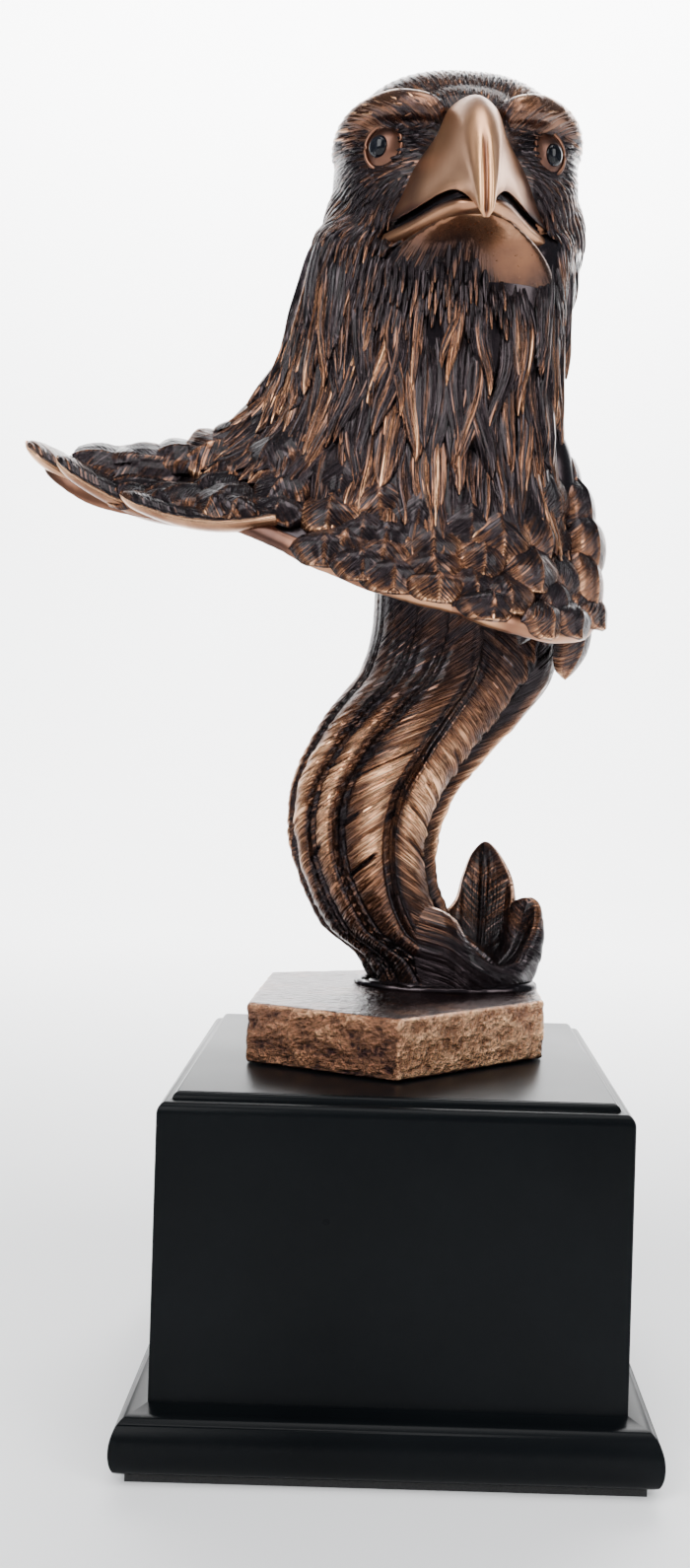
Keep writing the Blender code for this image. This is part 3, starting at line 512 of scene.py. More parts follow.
class Finish:
    """A node material in the making. Each texture and sum gives its output socket."""

    def __init__(self, name):
        self.material = bpy.data.materials.new(name)
        self.material.use_nodes = True
        self.tree = self.material.node_tree
        self.place = self.node("TexCoord").outputs["Object"]

    def feed(self, node, inputs):
        """Links sockets to a node's inputs, and sets the others to plain values."""
        for key, value in inputs.items():
            if isinstance(value, bpy.types.NodeSocket):
                self.tree.links.new(value, node.inputs[key])
            else:
                node.inputs[key].default_value = value

    def node(self, kind, inputs=None, **settings):
        node = self.tree.nodes.new("ShaderNode" + kind)
        for key, value in settings.items():
            setattr(node, key, value)
        self.feed(node, inputs or {})
        return node

    def attribute(self, name, output="Fac"):
        return self.node("Attribute", attribute_name=name).outputs[output]

    def noise(self, scale, detail=3.0, roughness=0.6, stretch=None, vector=None):
        """A noise texture, on the object's own coordinates unless told, stretched if asked."""
        vector = self.place if vector is None else vector
        if stretch:
            vector = self.node("Mapping", {"Vector": vector, "Scale": stretch}).outputs["Vector"]
        inputs = {"Vector": vector, "Scale": scale, "Detail": detail, "Roughness": roughness}
        return self.node("TexNoise", inputs).outputs["Fac"]

    def sum(self, a, times, plus, clamp=False):
        """a * times + plus."""
        inputs = {0: a, 1: times, 2: plus}
        return self.node("Math", inputs, operation="MULTIPLY_ADD", use_clamp=clamp).outputs[0]

    def ramp(self, factor, *stops):
        """A colour ramp: stops of (place, colour), where a number is a grey."""
        ramp = self.node("ValToRGB", {"Fac": factor})
        while len(ramp.color_ramp.elements) < len(stops):
            ramp.color_ramp.elements.new(0.5)
        for element, (place, colour) in zip(ramp.color_ramp.elements, stops):
            element.position = place
            element.color = (*(colour if isinstance(colour, tuple) else (colour,) * 3), 1.0)
        return ramp.outputs["Color"]

    def bump(self, height, distance, strength, under=None):
        inputs = {"Height": height, "Distance": distance, "Strength": strength}
        if under is not None:
            inputs["Normal"] = under
        return self.node("Bump", inputs).outputs["Normal"]

    def done(self, colour, roughness, inputs):
        shader = self.tree.nodes["Principled BSDF"]
        self.feed(shader, {"Base Color": colour, "Roughness": roughness, **inputs})
        return self.material


def bronze(name, strands=0.45, shine=0.0, rough_from=0.19):
    """Antiqued copper plate: dark in the hollows, rubbed bright on what stands out, and showing the painted
    highlight and painted shade that some pieces put into the brightness it reads.
    """
    make = Finish(name)
    strand = make.attribute("strand", "Vector")
    fine = make.noise(1.0, 2.0, 0.5, (1.9, 0.09, 1.0), strand)
    broad = make.noise(1.0, 1.0, 0.5, (0.62, 0.045, 1.0), strand)
    barbs = make.sum(make.sum(broad, 0.55, -0.27), 1.0, fine)
    blotch = make.noise(90.0, 4.0)
    grain = make.noise(1400.0, 2.0, 0.5)
    keep = make.sum(make.attribute("smooth"), -1.0, 1.0)
    height = make.sum(make.ramp(barbs, (0.36, 0.0), (0.62, 1.0)), keep, 0.0)
    total = make.sum(make.sum(height, strands, shine - 0.5 * strands), 1.0, make.attribute("wear_and_painted_light"))
    total = make.sum(total, 1.0, make.sum(blotch, 0.5, -0.25), True)
    colour = make.ramp(total, (0.30, DARK), (0.66, BROWN), (1.0, COPPER))
    relief = make.bump(height, 0.0006, 0.9)
    return make.done(colour, make.sum(grain, 0.12, rough_from), {
        "Metallic": 0.92, "Coat Weight": 0.14, "Coat Roughness": 0.12,
        "Normal": make.bump(grain, 0.00006, 0.35, relief)})


def satin_copper():
    """The smooth beak: satin copper, faint brushing, darker where it meets the feathers."""
    make = Finish("satin_copper")
    blotch = make.noise(60.0, 4.0, 0.55)
    brushing = make.noise(400.0, 3.0, 0.6, (1.0, 1.0, 0.25))
    tone = make.sum(make.sum(blotch, 0.35, -0.17), 1.0, make.attribute("wear_and_painted_light"), True)
    colour = make.ramp(tone, (0.0, DARK), (0.3, (0.22, 0.10, 0.06)), (0.65, (0.56, 0.29, 0.155)),
                       (1.0, (0.85, 0.45, 0.215)))
    return make.done(colour, make.sum(brushing, 0.16, 0.27), {
        "Metallic": 0.95, "Normal": make.bump(brushing, 0.00008, 0.3)})


def glossy_black():
    """The pupils: near black, with a faint haze in the gloss."""
    make = Finish("glossy_black")
    colour = make.ramp(make.noise(300.0), (0.3, (0.002, 0.002, 0.003)), (0.8, (0.010, 0.011, 0.016)))
    return make.done(colour, 0.06, {"Specular IOR Level": 0.20})


def satin_black():
    """The painted base: satin black with a faint orange peel and a few soft rubs."""
    make = Finish("satin_black")
    cloud = make.noise(18.0, 3.0, 0.5)
    peel = make.noise(900.0, 2.0, 0.5)
    colour = make.ramp(cloud, (0.3, (0.0018, 0.0023, 0.0028)), (0.75, (0.0034, 0.0042, 0.0050)))
    return make.done(colour, make.sum(cloud, 0.16, 0.22), {
        "Specular IOR Level": 0.07, "Normal": make.bump(peel, 0.00003, 0.25)})


def felt():
    """The pad under the base: short black fibres."""
    make = Finish("black_felt")
    fibres = make.noise(2500.0, 4.0, 0.7)
    colour = make.ramp(fibres, (0.3, 0.006), (0.7, 0.03))
    return make.done(colour, 0.95, {"Normal": make.bump(fibres, 0.0003, 0.6)})


def rock_bronze():
    """The plate: rough rubbed copper on its sides, smoother and darker on top."""
    make = Finish("rock_bronze")
    pits = make.noise(420.0, 5.0, 0.62, (1.0, 1.0, 1.5))
    stain = make.noise(70.0, 4.0)
    grain = make.noise(1500.0)
    total = make.sum(make.sum(pits, 0.5, -0.22), 1.0, make.attribute("wear_and_painted_light"))
    total = make.sum(total, 1.0, make.sum(stain, 0.7, -0.33), True)
    colour = make.ramp(total, (0.15, (0.035, 0.018, 0.018)), (0.5, (0.24, 0.115, 0.065)),
                       (1.0, (0.86, 0.53, 0.29)))
    relief = make.bump(pits, 0.0016, 0.8)
    return make.done(colour, make.sum(grain, 0.14, 0.16), {
        "Metallic": 0.95, "Normal": make.bump(grain, 0.00008, 0.4, relief)})


def paper():
    """The studio's pale paper, faintly clouded."""
    make = Finish("pale_floor")
    return make.done(make.ramp(make.noise(3.0), (0.2, 0.86), (0.8, 0.90)), 0.9, {})


# Mesh building blocks

def add_faces(mesh, rings):
    """A loft through rings of equal count, capped at both ends."""
    made = [[mesh.verts.new(p) for p in ring] for ring in rings]
    count = len(made[0])
    for lower, upper in zip(made, made[1:]):
        for k in range(count):
            j = (k + 1) % count
            mesh.faces.new((lower[k], lower[j], upper[j], upper[k]))
    mesh.faces.new(made[0][::-1])
    mesh.faces.new(made[-1])


def add_ellipsoid(mesh, centre, radii, matrix=Matrix(), power=2.0):
    """An ellipsoid; a power above 2 squares it off."""
    place = matrix @ Matrix.Translation(centre) @ Matrix.Diagonal((*radii, 1.0))
    made = bmesh.ops.create_uvsphere(mesh, u_segments=48, v_segments=32, radius=1.0)
    for vertex in made["verts"]:
        reach = sum(abs(value) ** power for value in vertex.co) ** (1.0 / power)
        vertex.co = place @ (vertex.co / reach)


def circle(sides):
    """Points once around a circle of radius 1 that lies flat."""
    turns = (math.tau * k / sides for k in range(sides))
    return [Vector((math.cos(turn), math.sin(turn), 0.0)) for turn in turns]


def add_rod(mesh, points, radii, matrix=Matrix(), sides=16):
    """A round rod of changing radius along a line of points."""
    rings = []
    for i, point in enumerate(points):
        ahead = Vector(points[min(i + 1, len(points) - 1)]) - Vector(points[max(i - 1, 0)])
        turn = ahead.to_track_quat("Z", "Y")
        rings.append([matrix @ (Vector(point) + turn @ (spot * radii[i])) for spot in circle(sides)])
    add_faces(mesh, rings)


def add_ring(mesh, points, radius, matrix=Matrix(), sides=10):
    """A closed round rod through a loop of points."""
    count = len(points)
    rings = []
    for i, point in enumerate(points):
        turn = (points[(i + 1) % count] - points[i - 1]).to_track_quat("Z", "Y")
        rings.append([mesh.verts.new(matrix @ (point + turn @ (spot * radius))) for spot in circle(sides)])
    for ring, onward in zip(rings, rings[1:] + rings[:1]):
        for k in range(sides):
            j = (k + 1) % sides
            mesh.faces.new((ring[k], ring[j], onward[j], onward[k]))


def fused(name, fill, voxel, rounds):
    """One smooth skin round overlapping forms, on the figure's grid."""
    forms = bmesh.new()
    fill(forms)
    thing = add_object(name, mesh_from(forms, name))
    remesh = thing.modifiers.new("fuse", "REMESH")
    remesh.mode = "VOXEL"
    remesh.voxel_size = voxel
    melt = thing.modifiers.new("melt", "SMOOTH")
    melt.factor = 0.5
    melt.iterations = rounds
    return applied(thing)


def tree_of(mesh):
    """What finds the nearest place on a mesh, and where a ray meets it."""
    return BVHTree.FromPolygons([v.co for v in mesh.vertices], [tuple(p.vertices) for p in mesh.polygons])


# Head

def fill_skull(mesh):
    """The skull, cheeks, throat and brows as overlapping forms."""
    for centre, radii, power in (((0, 8, 0), (33.0, 34, 30.0), 2.5), ((0, -5, 5.5), (22.0, 25, 16.5), 2.2),
                                 ((0, 8, -22), (34, 28, 24), 2.0)):
        add_ellipsoid(mesh, centre, radii, HEAD, power)
    rings = []
    turns = [math.tau * j / 32 for j in range(32)]
    for k in range(25):
        y = lerp(THROAT[0][0], THROAT[-1][0], k / 24)
        low, half = smooth_table(THROAT, y)
        middle, tall = 0.5 * (low + THROAT_TOP), 0.5 * (THROAT_TOP - low)
        rings.append([HEAD @ Vector((half * math.cos(turn), -y, middle + tall * math.sin(turn)))
                      for turn in turns])
    add_faces(mesh, rings)
    for side in (-1, 1):
        add_ellipsoid(mesh, (side * 19.5, 8, -11), (16.5, 20.5, 19), HEAD)
        add_ellipsoid(mesh, (side * 15, -9, -5), (9.5, 13, 10), HEAD)
        brow = smooth_line([(side * x, y, z, radius) for x, y, z, radius in BROW], 5)
        add_rod(mesh, [row[:3] for row in brow], [row[3] for row in brow], HEAD)


def sink_sockets(mesh):
    """Presses the skin in around each eye."""
    points, normals = get_vectors(mesh, "co"), get_vectors(mesh, "normal")
    for eye in eye_openings():
        gap = np.linalg.norm(points - np.array(eye), axis=1)
        points -= normals * (1.9 * bell(gap, 0.0, 6.5))[:, None]
    mesh.vertices.foreach_set("co", points.ravel())
    mesh.update()


def eye_openings():
    """The middle of each eye's opening."""
    x, y, z = Vector(EYE_CENTRE) + Vector((0.56, -0.83, 0.0)) * EYE_RADIUS
    return [HEAD @ Vector((side * x, y, z)) for side in (-1, 1)]


def station_grid(stations, steps, arch_steps, inner, flip):
    """Rings of a loft along the beak: over the outside, and back over a curved inner wall."""
    rings = []
    for half in zip(*(smooth_line(line, steps) for line in zip(*stations))):
        ring = smooth_line([(-x, y, z) for x, y, z in half[:0:-1]] + list(half), arch_steps)
        x, y, z = half[-1]
        for j in range(1, inner):
            turn = math.pi * j / inner
            ring.append((x * math.cos(turn), y + 0.4, z + flip * 2.2 * math.sin(turn)))
        rings.append(ring)
    return rings


def loft_mesh(name, rings):
    loft = bmesh.new()
    add_faces(loft, rings)
    return mesh_from(loft, name)


def upper_beak(material):
    """The smooth hooked beak, with a fine groove between two ridges down the hook's front."""
    mesh = loft_mesh("upper_beak", station_grid(BEAK_STATIONS, 10, 8, 12, 1.0))
    points = get_vectors(mesh, "co")
    x, y, z = points.T
    front = climb(-y, 48.5, 4.0) * climb(-np.abs(x), -3.4, 1.2) * climb(z, -26.3, 1.5) * ease(-z, 1.0, 9.0)
    groove = bell(x, 0.0, 0.45)
    ridge = bell(np.abs(x), 1.45, 0.8)
    points[:, 1] += front * (0.75 * groove - 0.55 * ridge)
    wear_and_painted_light = 0.66 + front * (0.35 * ridge - 0.55 * groove)
    wear_and_painted_light -= 0.34 * climb(y + 0.45 * np.abs(x), -27.0, 7.0)
    # Painted reflection: a dark band down the middle of the beak's upper part.
    wear_and_painted_light -= 0.22 * bell(x, 0.0, 4.0) * climb(z, 0.0, 8.0)
    wear_and_painted_light -= 0.35 * climb(-z, 14.2, 2.0) * (y > -44.0)
    mesh.vertices.foreach_set("co", points.ravel())
    return beak_piece(mesh, "upper_beak", material, wear_and_painted_light)


def lower_beak(material):
    """The lower jaw: a rounded lip, and a chin that runs back into the throat."""
    mesh = loft_mesh("lower_beak", station_grid(JAW_STATIONS, 10, 7, 10, -1.0))
    x, _, z = get_vectors(mesh, "co").T
    wear_and_painted_light = 0.34 + 0.16 * bell(z, -19.6, 1.6) + 0.06 * np.sin(x * 0.5) + 0.12 * ease(x, 2.0, 14.0)
    wear_and_painted_light -= 0.30 * climb(z, -18.6, 0.8)
    return beak_piece(mesh, "lower_beak", material, wear_and_painted_light)


def beak_piece(mesh, name, material, wear_and_painted_light):
    """Makes the piece, and gives the tree of its surface that feathers are kept clear of."""
    mesh.transform(HEAD)
    tree = tree_of(mesh)
    piece_from(mesh, name, material, wear_and_painted_light)
    return tree


def mouth_lining(material):
    """The dark ribbed band between the two edges of the beak."""
    edges = (smooth_line([points[-1] for points in stations[1:7]], 24)
             for stations in (BEAK_STATIONS, JAW_STATIONS))
    inward = Vector((-1.1, 0.8, 0.0))
    rows = []
    for i, (top, low) in enumerate(zip(*edges)):
        top, low = Vector(top), Vector(low)
        rib = 0.16 * math.sin(i * 2.1)
        rows.append((top + inward + Vector((-0.3 + rib, 0, 1.6)), top.lerp(low, 0.5) + inward * (0.8 - rib),
                     low + inward + Vector((-0.3, 0, -1.2)), top.lerp(low, 0.5) + inward * 5.0))
    band = bmesh.new()
    for side in (-1, 1):
        add_faces(band, [[Vector((side * p.x, p.y, p.z)) for p in ring] for ring in rows])
    piece_from(mesh_from(band, "mouth_lining", HEAD), "mouth_lining", material, 0.12)


def eye_pieces(copper, black):
    """Eyeballs with a raised lid, and a glossy pupil let into each."""
    balls, pupils = bmesh.new(), bmesh.new()
    x, y, z = EYE_CENTRE
    centres = {side: Vector((side * x, y, z)) for side in (-1, 1)}
    for side, gaze in GAZES:
        centre, gaze = centres[side], Vector(gaze).normalized()
        turn = gaze.to_track_quat("Z", "Y")
        bmesh.ops.create_uvsphere(balls, u_segments=40, v_segments=28, radius=EYE_RADIUS,
                                  matrix=HEAD @ Matrix.Translation(centre))
        pupil = (HEAD @ Matrix.Translation(centre + gaze * (EYE_RADIUS - PUPIL_SET_IN))
                 @ turn.to_matrix().to_4x4() @ Matrix.Diagonal((*PUPIL_RADII, 1.0)))
        bmesh.ops.create_uvsphere(pupils, u_segments=32, v_segments=20, radius=1.0, matrix=pupil)
        look = Vector((side * 0.56, -0.83, -0.02)).normalized().to_track_quat("Z", "Y")
        for spread, oval, radius, lift, axis in ((43.0, 0.10, 0.55, 0.30, look),
                                                 (20.0, 0.0, 0.22, 0.0, turn)):
            ring = []
            for k in range(48):
                angle = math.tau * k / 48
                lean = math.radians(spread) * (1.0 + oval * abs(math.sin(angle)))
                local = Vector((math.sin(lean) * math.cos(angle), math.sin(lean) * math.sin(angle),
                                math.cos(lean)))
                ring.append(centre + axis @ local * (EYE_RADIUS + lift))
            add_ring(balls, ring, radius, HEAD)
    for built, name, material in ((balls, "eyeballs", copper), (pupils, "pupils", black)):
        mesh = mesh_from(built, name)
        points = get_vectors(mesh, "co")
        gaps = [np.linalg.norm(points - np.array(HEAD @ centre), axis=1) for centre in centres.values()]
        lid = ease(np.minimum(*gaps), EYE_RADIUS + 0.02, EYE_RADIUS + 0.3)
        # The eyeballs are brighter on the side toward the beak: a painted highlight.
        inner = ease(x - np.abs(in_head(points)[:, 0]), -2.0, 5.0)
        piece_from(mesh, name, material, 0.10 + 0.34 * inner * (1.0 - lid) + 0.12 * lid)


def traced(tree, start, flow, length, steps, sink, lift):
    """A line that creeps over a skin in the direction of a flow, rising off it toward its end."""
    point, normal, _, _ = tree.find_nearest(start)
    spine = []
    normals = []
    for i in range(steps + 1):
        t = i / steps
        spine.append(point + normal * lerp(-sink, lift, t))
        normals.append(normal.copy())
        step = flow(point)
        step = (step - normal * step.dot(normal)).normalized() * (length / steps)
        point, fresh, _, _ = tree.find_nearest(point + step)
        normal = normal.lerp(fresh, 0.6).normalized()
    return spine, normals


def lock_widths(width, steps, sharp=0.75):
    """Half widths of a pointed lock: quick to open, long to close."""
    t = np.linspace(0.0, 1.0, steps + 1)
    return 0.5 * width * np.minimum(0.55 + 2.2 * t, 1.0) * np.clip(1.0 - t ** 2.2, 0.0, 1.0) ** sharp + 0.05


def round_widths(width, steps):
    """Half widths of a covert: quick to open, with a half circle for its end."""
    t = np.linspace(0.0, 1.0, steps + 1)
    end = climb(t, 0.55, 0.45)
    return 0.5 * width * np.minimum(0.6 + 1.2 * t, 1.0) * np.sqrt(1.0 - end ** 2) + 0.05


def head_flow(point):
    """Feathers stream back from the beak, and down over the cheeks and the back of the head."""
    local = HEAD.inverted() @ point
    back = Vector((local.x * 0.55, local.y + 44.0, local.z * 0.7 + 2.0)).normalized()
    down = Vector((0.10 * local.x / 30.0, 0.25, -1.0))
    share = max(climb(-local.z, -4.0, 26.0) ** 1.3, climb(local.y, 8.0, 20.0))
    return (HEAD.to_3x3() @ back.lerp(down, share)).normalized()


def in_head(points):
    """Points in the head's own frame."""
    return points @ np.array(HEAD.inverted().to_3x3()).T + np.array(HEAD.inverted().translation)


def skin_strands(points):
    """Places across and along the fine feathering of the head's skin, mm."""
    x, y, z = in_head(points).T
    return stacked(np.arctan2(x, z + 4.0) * 26.0, y * 1.2, 0.0)


def head_feathers(tree, covers, material):
    """Short fine feathers over the crown, brows, cheeks and throat, clear of the beak and eyes.

    They start where rays spread evenly from all around, in a golden-angle spiral, meet the skin.
    """
    sheaf = Sheaf(5, (0.0,))
    eyes = eye_openings()
    golden = math.pi * (3.0 - math.sqrt(5.0))
    count, steps = HEAD_FEATHER_RAYS, 6
    origin = HEAD @ Vector((0.0, 2.0, -6.0))
    for k in range(count):
        height = 1.0 - 2.0 * (k + 0.5) / count
        ring = math.sqrt(1.0 - height * height)
        ray = Vector((ring * math.cos(golden * k), ring * math.sin(golden * k), height))
        hit = tree.ray_cast(origin + ray * 90.0, -ray)[0]
        if hit is None:
            continue
        local = HEAD.inverted() @ hit
        eye_gap = min((hit - eye).length for eye in eyes)
        behind = climb(local.y, 8.0, 20.0)
        if (local.z < HEAD_FEATHER_BOTTOM or eye_gap < EYE_CLEARANCE
                or is_covered(hit, covers, BEAK_CLEARANCE)
                or bare_chin(local, covers[1].find_nearest(hit)[3]) > 0.35 + 0.3 * jitter(k, 4.0)
                or brow_crest(local) > 0.55 + 0.4 * jitter(k, 5.0)
                or (behind > 0.5 and k % 3 == 0)):
            continue
        far = climb(local.y, -30.0, 28.0)
        on_top = climb(local.z, 6.0, 7.0) * (1.0 - behind)
        low = max(climb(-local.z, 3.0, 26.0), 0.7 * behind)
        length = lerp(3.2, 9.5, far) * (1.0 + 1.1 * low) * (1.0 + 0.25 * jitter(k, 1.0))
        width = lerp(1.0, 2.5, far) * (1.0 + 0.9 * low) * (1.0 + 0.2 * jitter(k, 2.0))
        rise = lerp(lerp(0.35, 1.5, low), 0.12, on_top)
        spine, normals = traced(tree, hit, head_flow, length, steps, 0.4, rise)
        # Feathers over the tops of the brows are brighter: partly rubbed wear, partly painted highlight.
        crest = bell(local.z, 11.0, 4.0) * climb(abs(local.x), 6.0, 5.0) * climb(-local.y, -2.0, 10.0)
        shade = 0.19 + 0.40 * crest + 0.10 * on_top * (1.0 - far) + 0.05 * low
        shade += 0.16 * jitter(k, 3.0) - 0.14 * (1.0 - far) * (1.0 - on_top)
        thickness = lerp(lerp(0.45, 1.05, low), 0.22, on_top)
        sheaf.blade(spine, normals, lock_widths(width, steps), thickness, base_tone=shade, seed=k * 0.37)
    sheaf.piece("head_feathers", material)


def bare_chin(local, jaw_gap):
    """From 0 to 1: how smooth the skin is under the jaw, and more so under its far side."""
    if local.z > CHIN_TOP or local.y > (-12.0 if local.x > 0.0 else -24.0) or local.x > 24.0:
        return 0.0
    reach = lerp(4.5, 11.5, float(ease(local.x, -3.0, 10.0)))
    return math.exp(-(jaw_gap / reach) ** 2)


def brow_crest(local):
    """From 0 to 1: how near a place on the head is to the top of a brow, which is rubbed bright and also
    painted with a highlight.
    """
    gap = np.min(np.linalg.norm(BROW_LINE - (abs(local.x), local.y, local.z - 3.5), axis=1))
    return bell(gap, 0.0, 5.5) * climb(-local.y, 10.0, 8.0) * ease(abs(local.x), 8.5, 12.0)


def skull_finish(points, jaw):
    """How bright, and how smooth, each point of the skin is: most on the brows and under the jaw; the brows'
    brightness is partly rubbed wear and partly painted highlight.
    """
    into = HEAD.inverted()
    wear_and_painted_light, smooth = np.empty((2, len(points)))
    for i, point in enumerate(points):
        spot = Vector(point)
        local = into @ spot
        brow = brow_crest(local)
        under = local.z < CHIN_TOP and local.y < 0.0
        chin = bare_chin(local, jaw.find_nearest(spot)[3]) if under else 0.0
        crown = ease(local.z, 8.0, 20.0) * (1.0 - ease(local.y, -12.0, 10.0))
        # The brow term is partly rubbed wear and partly painted highlight.
        wear_and_painted_light[i] = 0.24 + 0.14 * crown + 0.70 * brow + 0.50 * chin
        smooth[i] = max(brow, chin)
    return wear_and_painted_light, smooth


def is_covered(point, covers, spare):
    """True where the beak or the jaw lies over a point, or within a spare distance of it."""
    for cover in covers:
        near, normal, _, gap = cover.find_nearest(point)
        if gap < spare or (gap < COVER_REACH and (point - near).dot(normal) < 0.0):
            return True
    return False


# Bust

def fill_bust(mesh):
    """The bust's skin as a loft, from inside the head over the rim and up into the hollow."""
    around, levels = 120, 24
    crown = Vector(HEAD_CENTRE) + Vector((-2, 2, 0))
    rings = [[bust_point(k / around, 0.0).lerp(crown, 0.35) + Vector((0, 0, 8)) for k in range(around)]]
    rings += [[bust_point(k / around, level / levels) for k in range(around)] for level in range(levels + 1)]
    hollow = Vector(HOLLOW_TOP)
    for inward, lift in ((0.015, -1.4), (0.03, -2.2), (0.08, -2.8), (0.14, -2.4), (0.35, 1.0), (0.7, 4.0)):
        ring = []
        for k in range(around):
            rim = bust_point(k / around, 1.0)
            level = Vector((hollow.x, hollow.y, lerp(rim.z, hollow.z, inward)))
            ring.append(rim.lerp(level, inward) + Vector((0, 0, lift)))
        rings.append(ring)
    add_faces(mesh, rings)
    add_ellipsoid(mesh, *SHOULDER_SWELL)


def surface_spine(u, s, length, lift, sink, steps, drift, droop=0.0):
    """A line down the bust's skin from (u, s), rising off it, and running on past the rim."""
    spine = []
    normals = []
    whole = bust_length(u)
    for i in range(steps + 1):
        t = i / steps
        place = s + length * t / whole
        here, up, fall = bust_frame(u + drift * t, min(max(place, 0.0), 1.0))
        over = max(place - 1.0, 0.0) * whole
        rise = lerp(-sink, lift, t ** 0.8) - droop * float(ease(t, 0.45, 1.0))
        spine.append(here + up * rise + (fall + Vector((0.0, 0.0, -0.8))).normalized() * over)
        normals.append(up)
    return spine, normals


def neck_locks(material):
    """Layer on layer of long pointed locks around the neck."""
    sheaf = Sheaf(13)
    steps = 12
    for row, (s, count, length, width) in enumerate(LOCK_ROWS):
        for k in range(count):
            seed = row * 50.0 + k
            u = (k + 0.5 * (row % 2) + 0.42 * jitter(seed, 1.0)) / count
            drift = 0.030 * noise.noise(bust_point(u, s) * 0.035) + 0.010 * jitter(seed, 5.0)
            long = length * (1.0 + 0.28 * jitter(seed, 2.0))
            start = s + 0.035 * jitter(seed, 3.0)
            lift = 2.0 + 0.8 * jitter(seed, 4.0)
            spine, normals = surface_spine(u, start, long, lift, 0.9, steps, drift)
            wave = 1.9 * jitter(seed, 6.0)
            side = normals[0].cross(spine[-1] - spine[0]).normalized()
            spine = [p + side * wave * math.sin(math.tau * i / steps * 0.8) for i, p in enumerate(spine)]
            half = lock_widths(width * (1.0 + 0.25 * jitter(seed, 7.0)), steps)
            sheaf.blade(spine, normals, half, 1.8, 0.26, base_tone=0.26 + 0.22 * jitter(seed, 8.0),
                        seed=seed, tip_wear=0.22, ridges=0.28)
    sheaf.piece("neck_locks", material)


def cape_feathers(material):
    """Rows of rounded feathers, each with a shaft and a thin raised rim, laid up from the edge."""
    sheaf = Sheaf(17)
    count, steps = 25, 20
    for row in range(COVERT_ROWS - 1, -1, -1):
        for k in range(count):
            seed = 600.0 + row * 50.0 + k
            u = (k + 0.5 * (row % 2) + 0.34 * jitter(seed, 1.0)) / count
            from_rim = COVERT_GAP * (row + 1.0 + 0.22 * jitter(seed, 6.0))
            start = 1.0 - from_rim / bust_length(u)
            if start < 0.46 or (row == 0 and rim_at(u)[1].x < PLUME_START_X):
                continue
            spacing = (bust_point(u + 1.0 / count, start) - bust_point(u, start)).length
            if spacing < COVERT_CROWDED and k % 2:
                continue
            length = from_rim + 4.5 if row == 0 else 21.0 * (1.0 + 0.14 * jitter(seed, 7.0))
            width = 17.5 * (1.0 + 0.20 * jitter(seed, 3.0))
            lift = 5.0 + 0.8 * jitter(seed, 8.0)
            spine, normals = surface_spine(u, start, length, lift, 0.8, steps, 0.008 * jitter(seed, 2.0), 3.6)
            sheaf.blade(spine, normals, round_widths(width, steps), 1.6, 0.30, 0.4, 0.45, 0.75,
                        0.14 + 0.16 * jitter(seed, 4.0), seed, tip_wear=0.31)
    sheaf.piece("cape_feathers", material)


def cape_rim(material):
    """The thick smooth edge of the casting under the last feathers, rubbed bright."""
    sheaf = Sheaf()
    count, sides = 420, 20
    points = np.empty((count, sides, 3))
    for k in range(count):
        angle, rim = rim_at(k / count)
        out = Vector((-math.sin(angle), -math.cos(angle), 0.0))
        swell = 1.0 + 0.16 * noise.noise(rim * 0.09) + 0.05 * noise.noise(rim * 0.5)
        for j in range(sides):
            turn = math.tau * j / sides
            spot = out * 1.6 * math.cos(turn) + Vector((0.0, 0.0, 2.7)) * math.sin(turn)
            points[k, j] = rim + spot * swell + Vector((0.0, 0.0, -1.6)) - out * 1.0
    loop = np.concatenate([points, points[:1]])
    wear_and_painted_light = 0.50 + 0.22 * ripple(np.arange(count + 1) * 0.12)[:, None]
    wear_and_painted_light = wear_and_painted_light * lerp(0.35, 1.0, ease(loop[..., 0], -36.0, -22.0))
    sheaf.grid(loop, wear_and_painted_light, np.zeros_like(loop))
    sheaf.piece("cape_rim", material)


def plume_feathers(material):
    """Long fingers of flight feathers that stream out to the side: barbed above, smooth below."""
    sheaf = Sheaf()
    rows, sides = 60, 40
    t = np.linspace(0.0, 1.0, rows)[:, None]
    turn = np.linspace(0.0, math.tau, sides, endpoint=False)
    tilt = np.array((0.10, -0.34, 0.94))
    top = ease(np.sin(turn), -0.05, 0.25)
    lip = bell(np.sin(turn), 0.08, 0.14)
    close = np.sqrt(1.0 - climb(t, 0.86, 0.14) ** 2) * (1.0 - 0.40 * t ** 2) + 0.02
    for number, (tip, root, sag, tall, deep) in enumerate(PLUME_FINGERS):
        tip, root = Vector(tip), Vector(root)
        spine = as_array(root.lerp(tip, i / (rows - 1))
                         - Vector((0, 0, sag * math.sin(math.pi * (i / (rows - 1))))) for i in range(rows))
        ahead = unit(np.gradient(spine, axis=0))
        up = unit(tilt - ahead * (ahead @ tilt)[:, None])
        side = np.cross(up, ahead)
        across = np.cos(turn) * deep * close
        height = np.sin(turn) * tall * close
        barb = t * np.linalg.norm(spine[-1] - spine[0]) + 0.9 * np.abs(across)
        height = np.where(height > 0.0, height * 0.55, height)
        height = height + top * (0.22 * ripple(barb * 0.9 + number * 31.0) + 0.10 * ripple(barb * 2.6))
        height = height - top * 0.8 * np.exp(-((np.abs(across) - deep * 0.8 * close) / 0.9) ** 2)
        points = spine[:, None] + side[:, None] * across[..., None] + up[:, None] * height[..., None]
        wear_and_painted_light = lerp(0.70, 0.20, top) + 0.40 * lip + 0.25 * ease(t, 0.8, 1.0)
        sheaf.grid(points, wear_and_painted_light, stacked(barb * top, np.abs(across) * top, number * 9.7))
    sheaf.piece("plume_feathers", material)


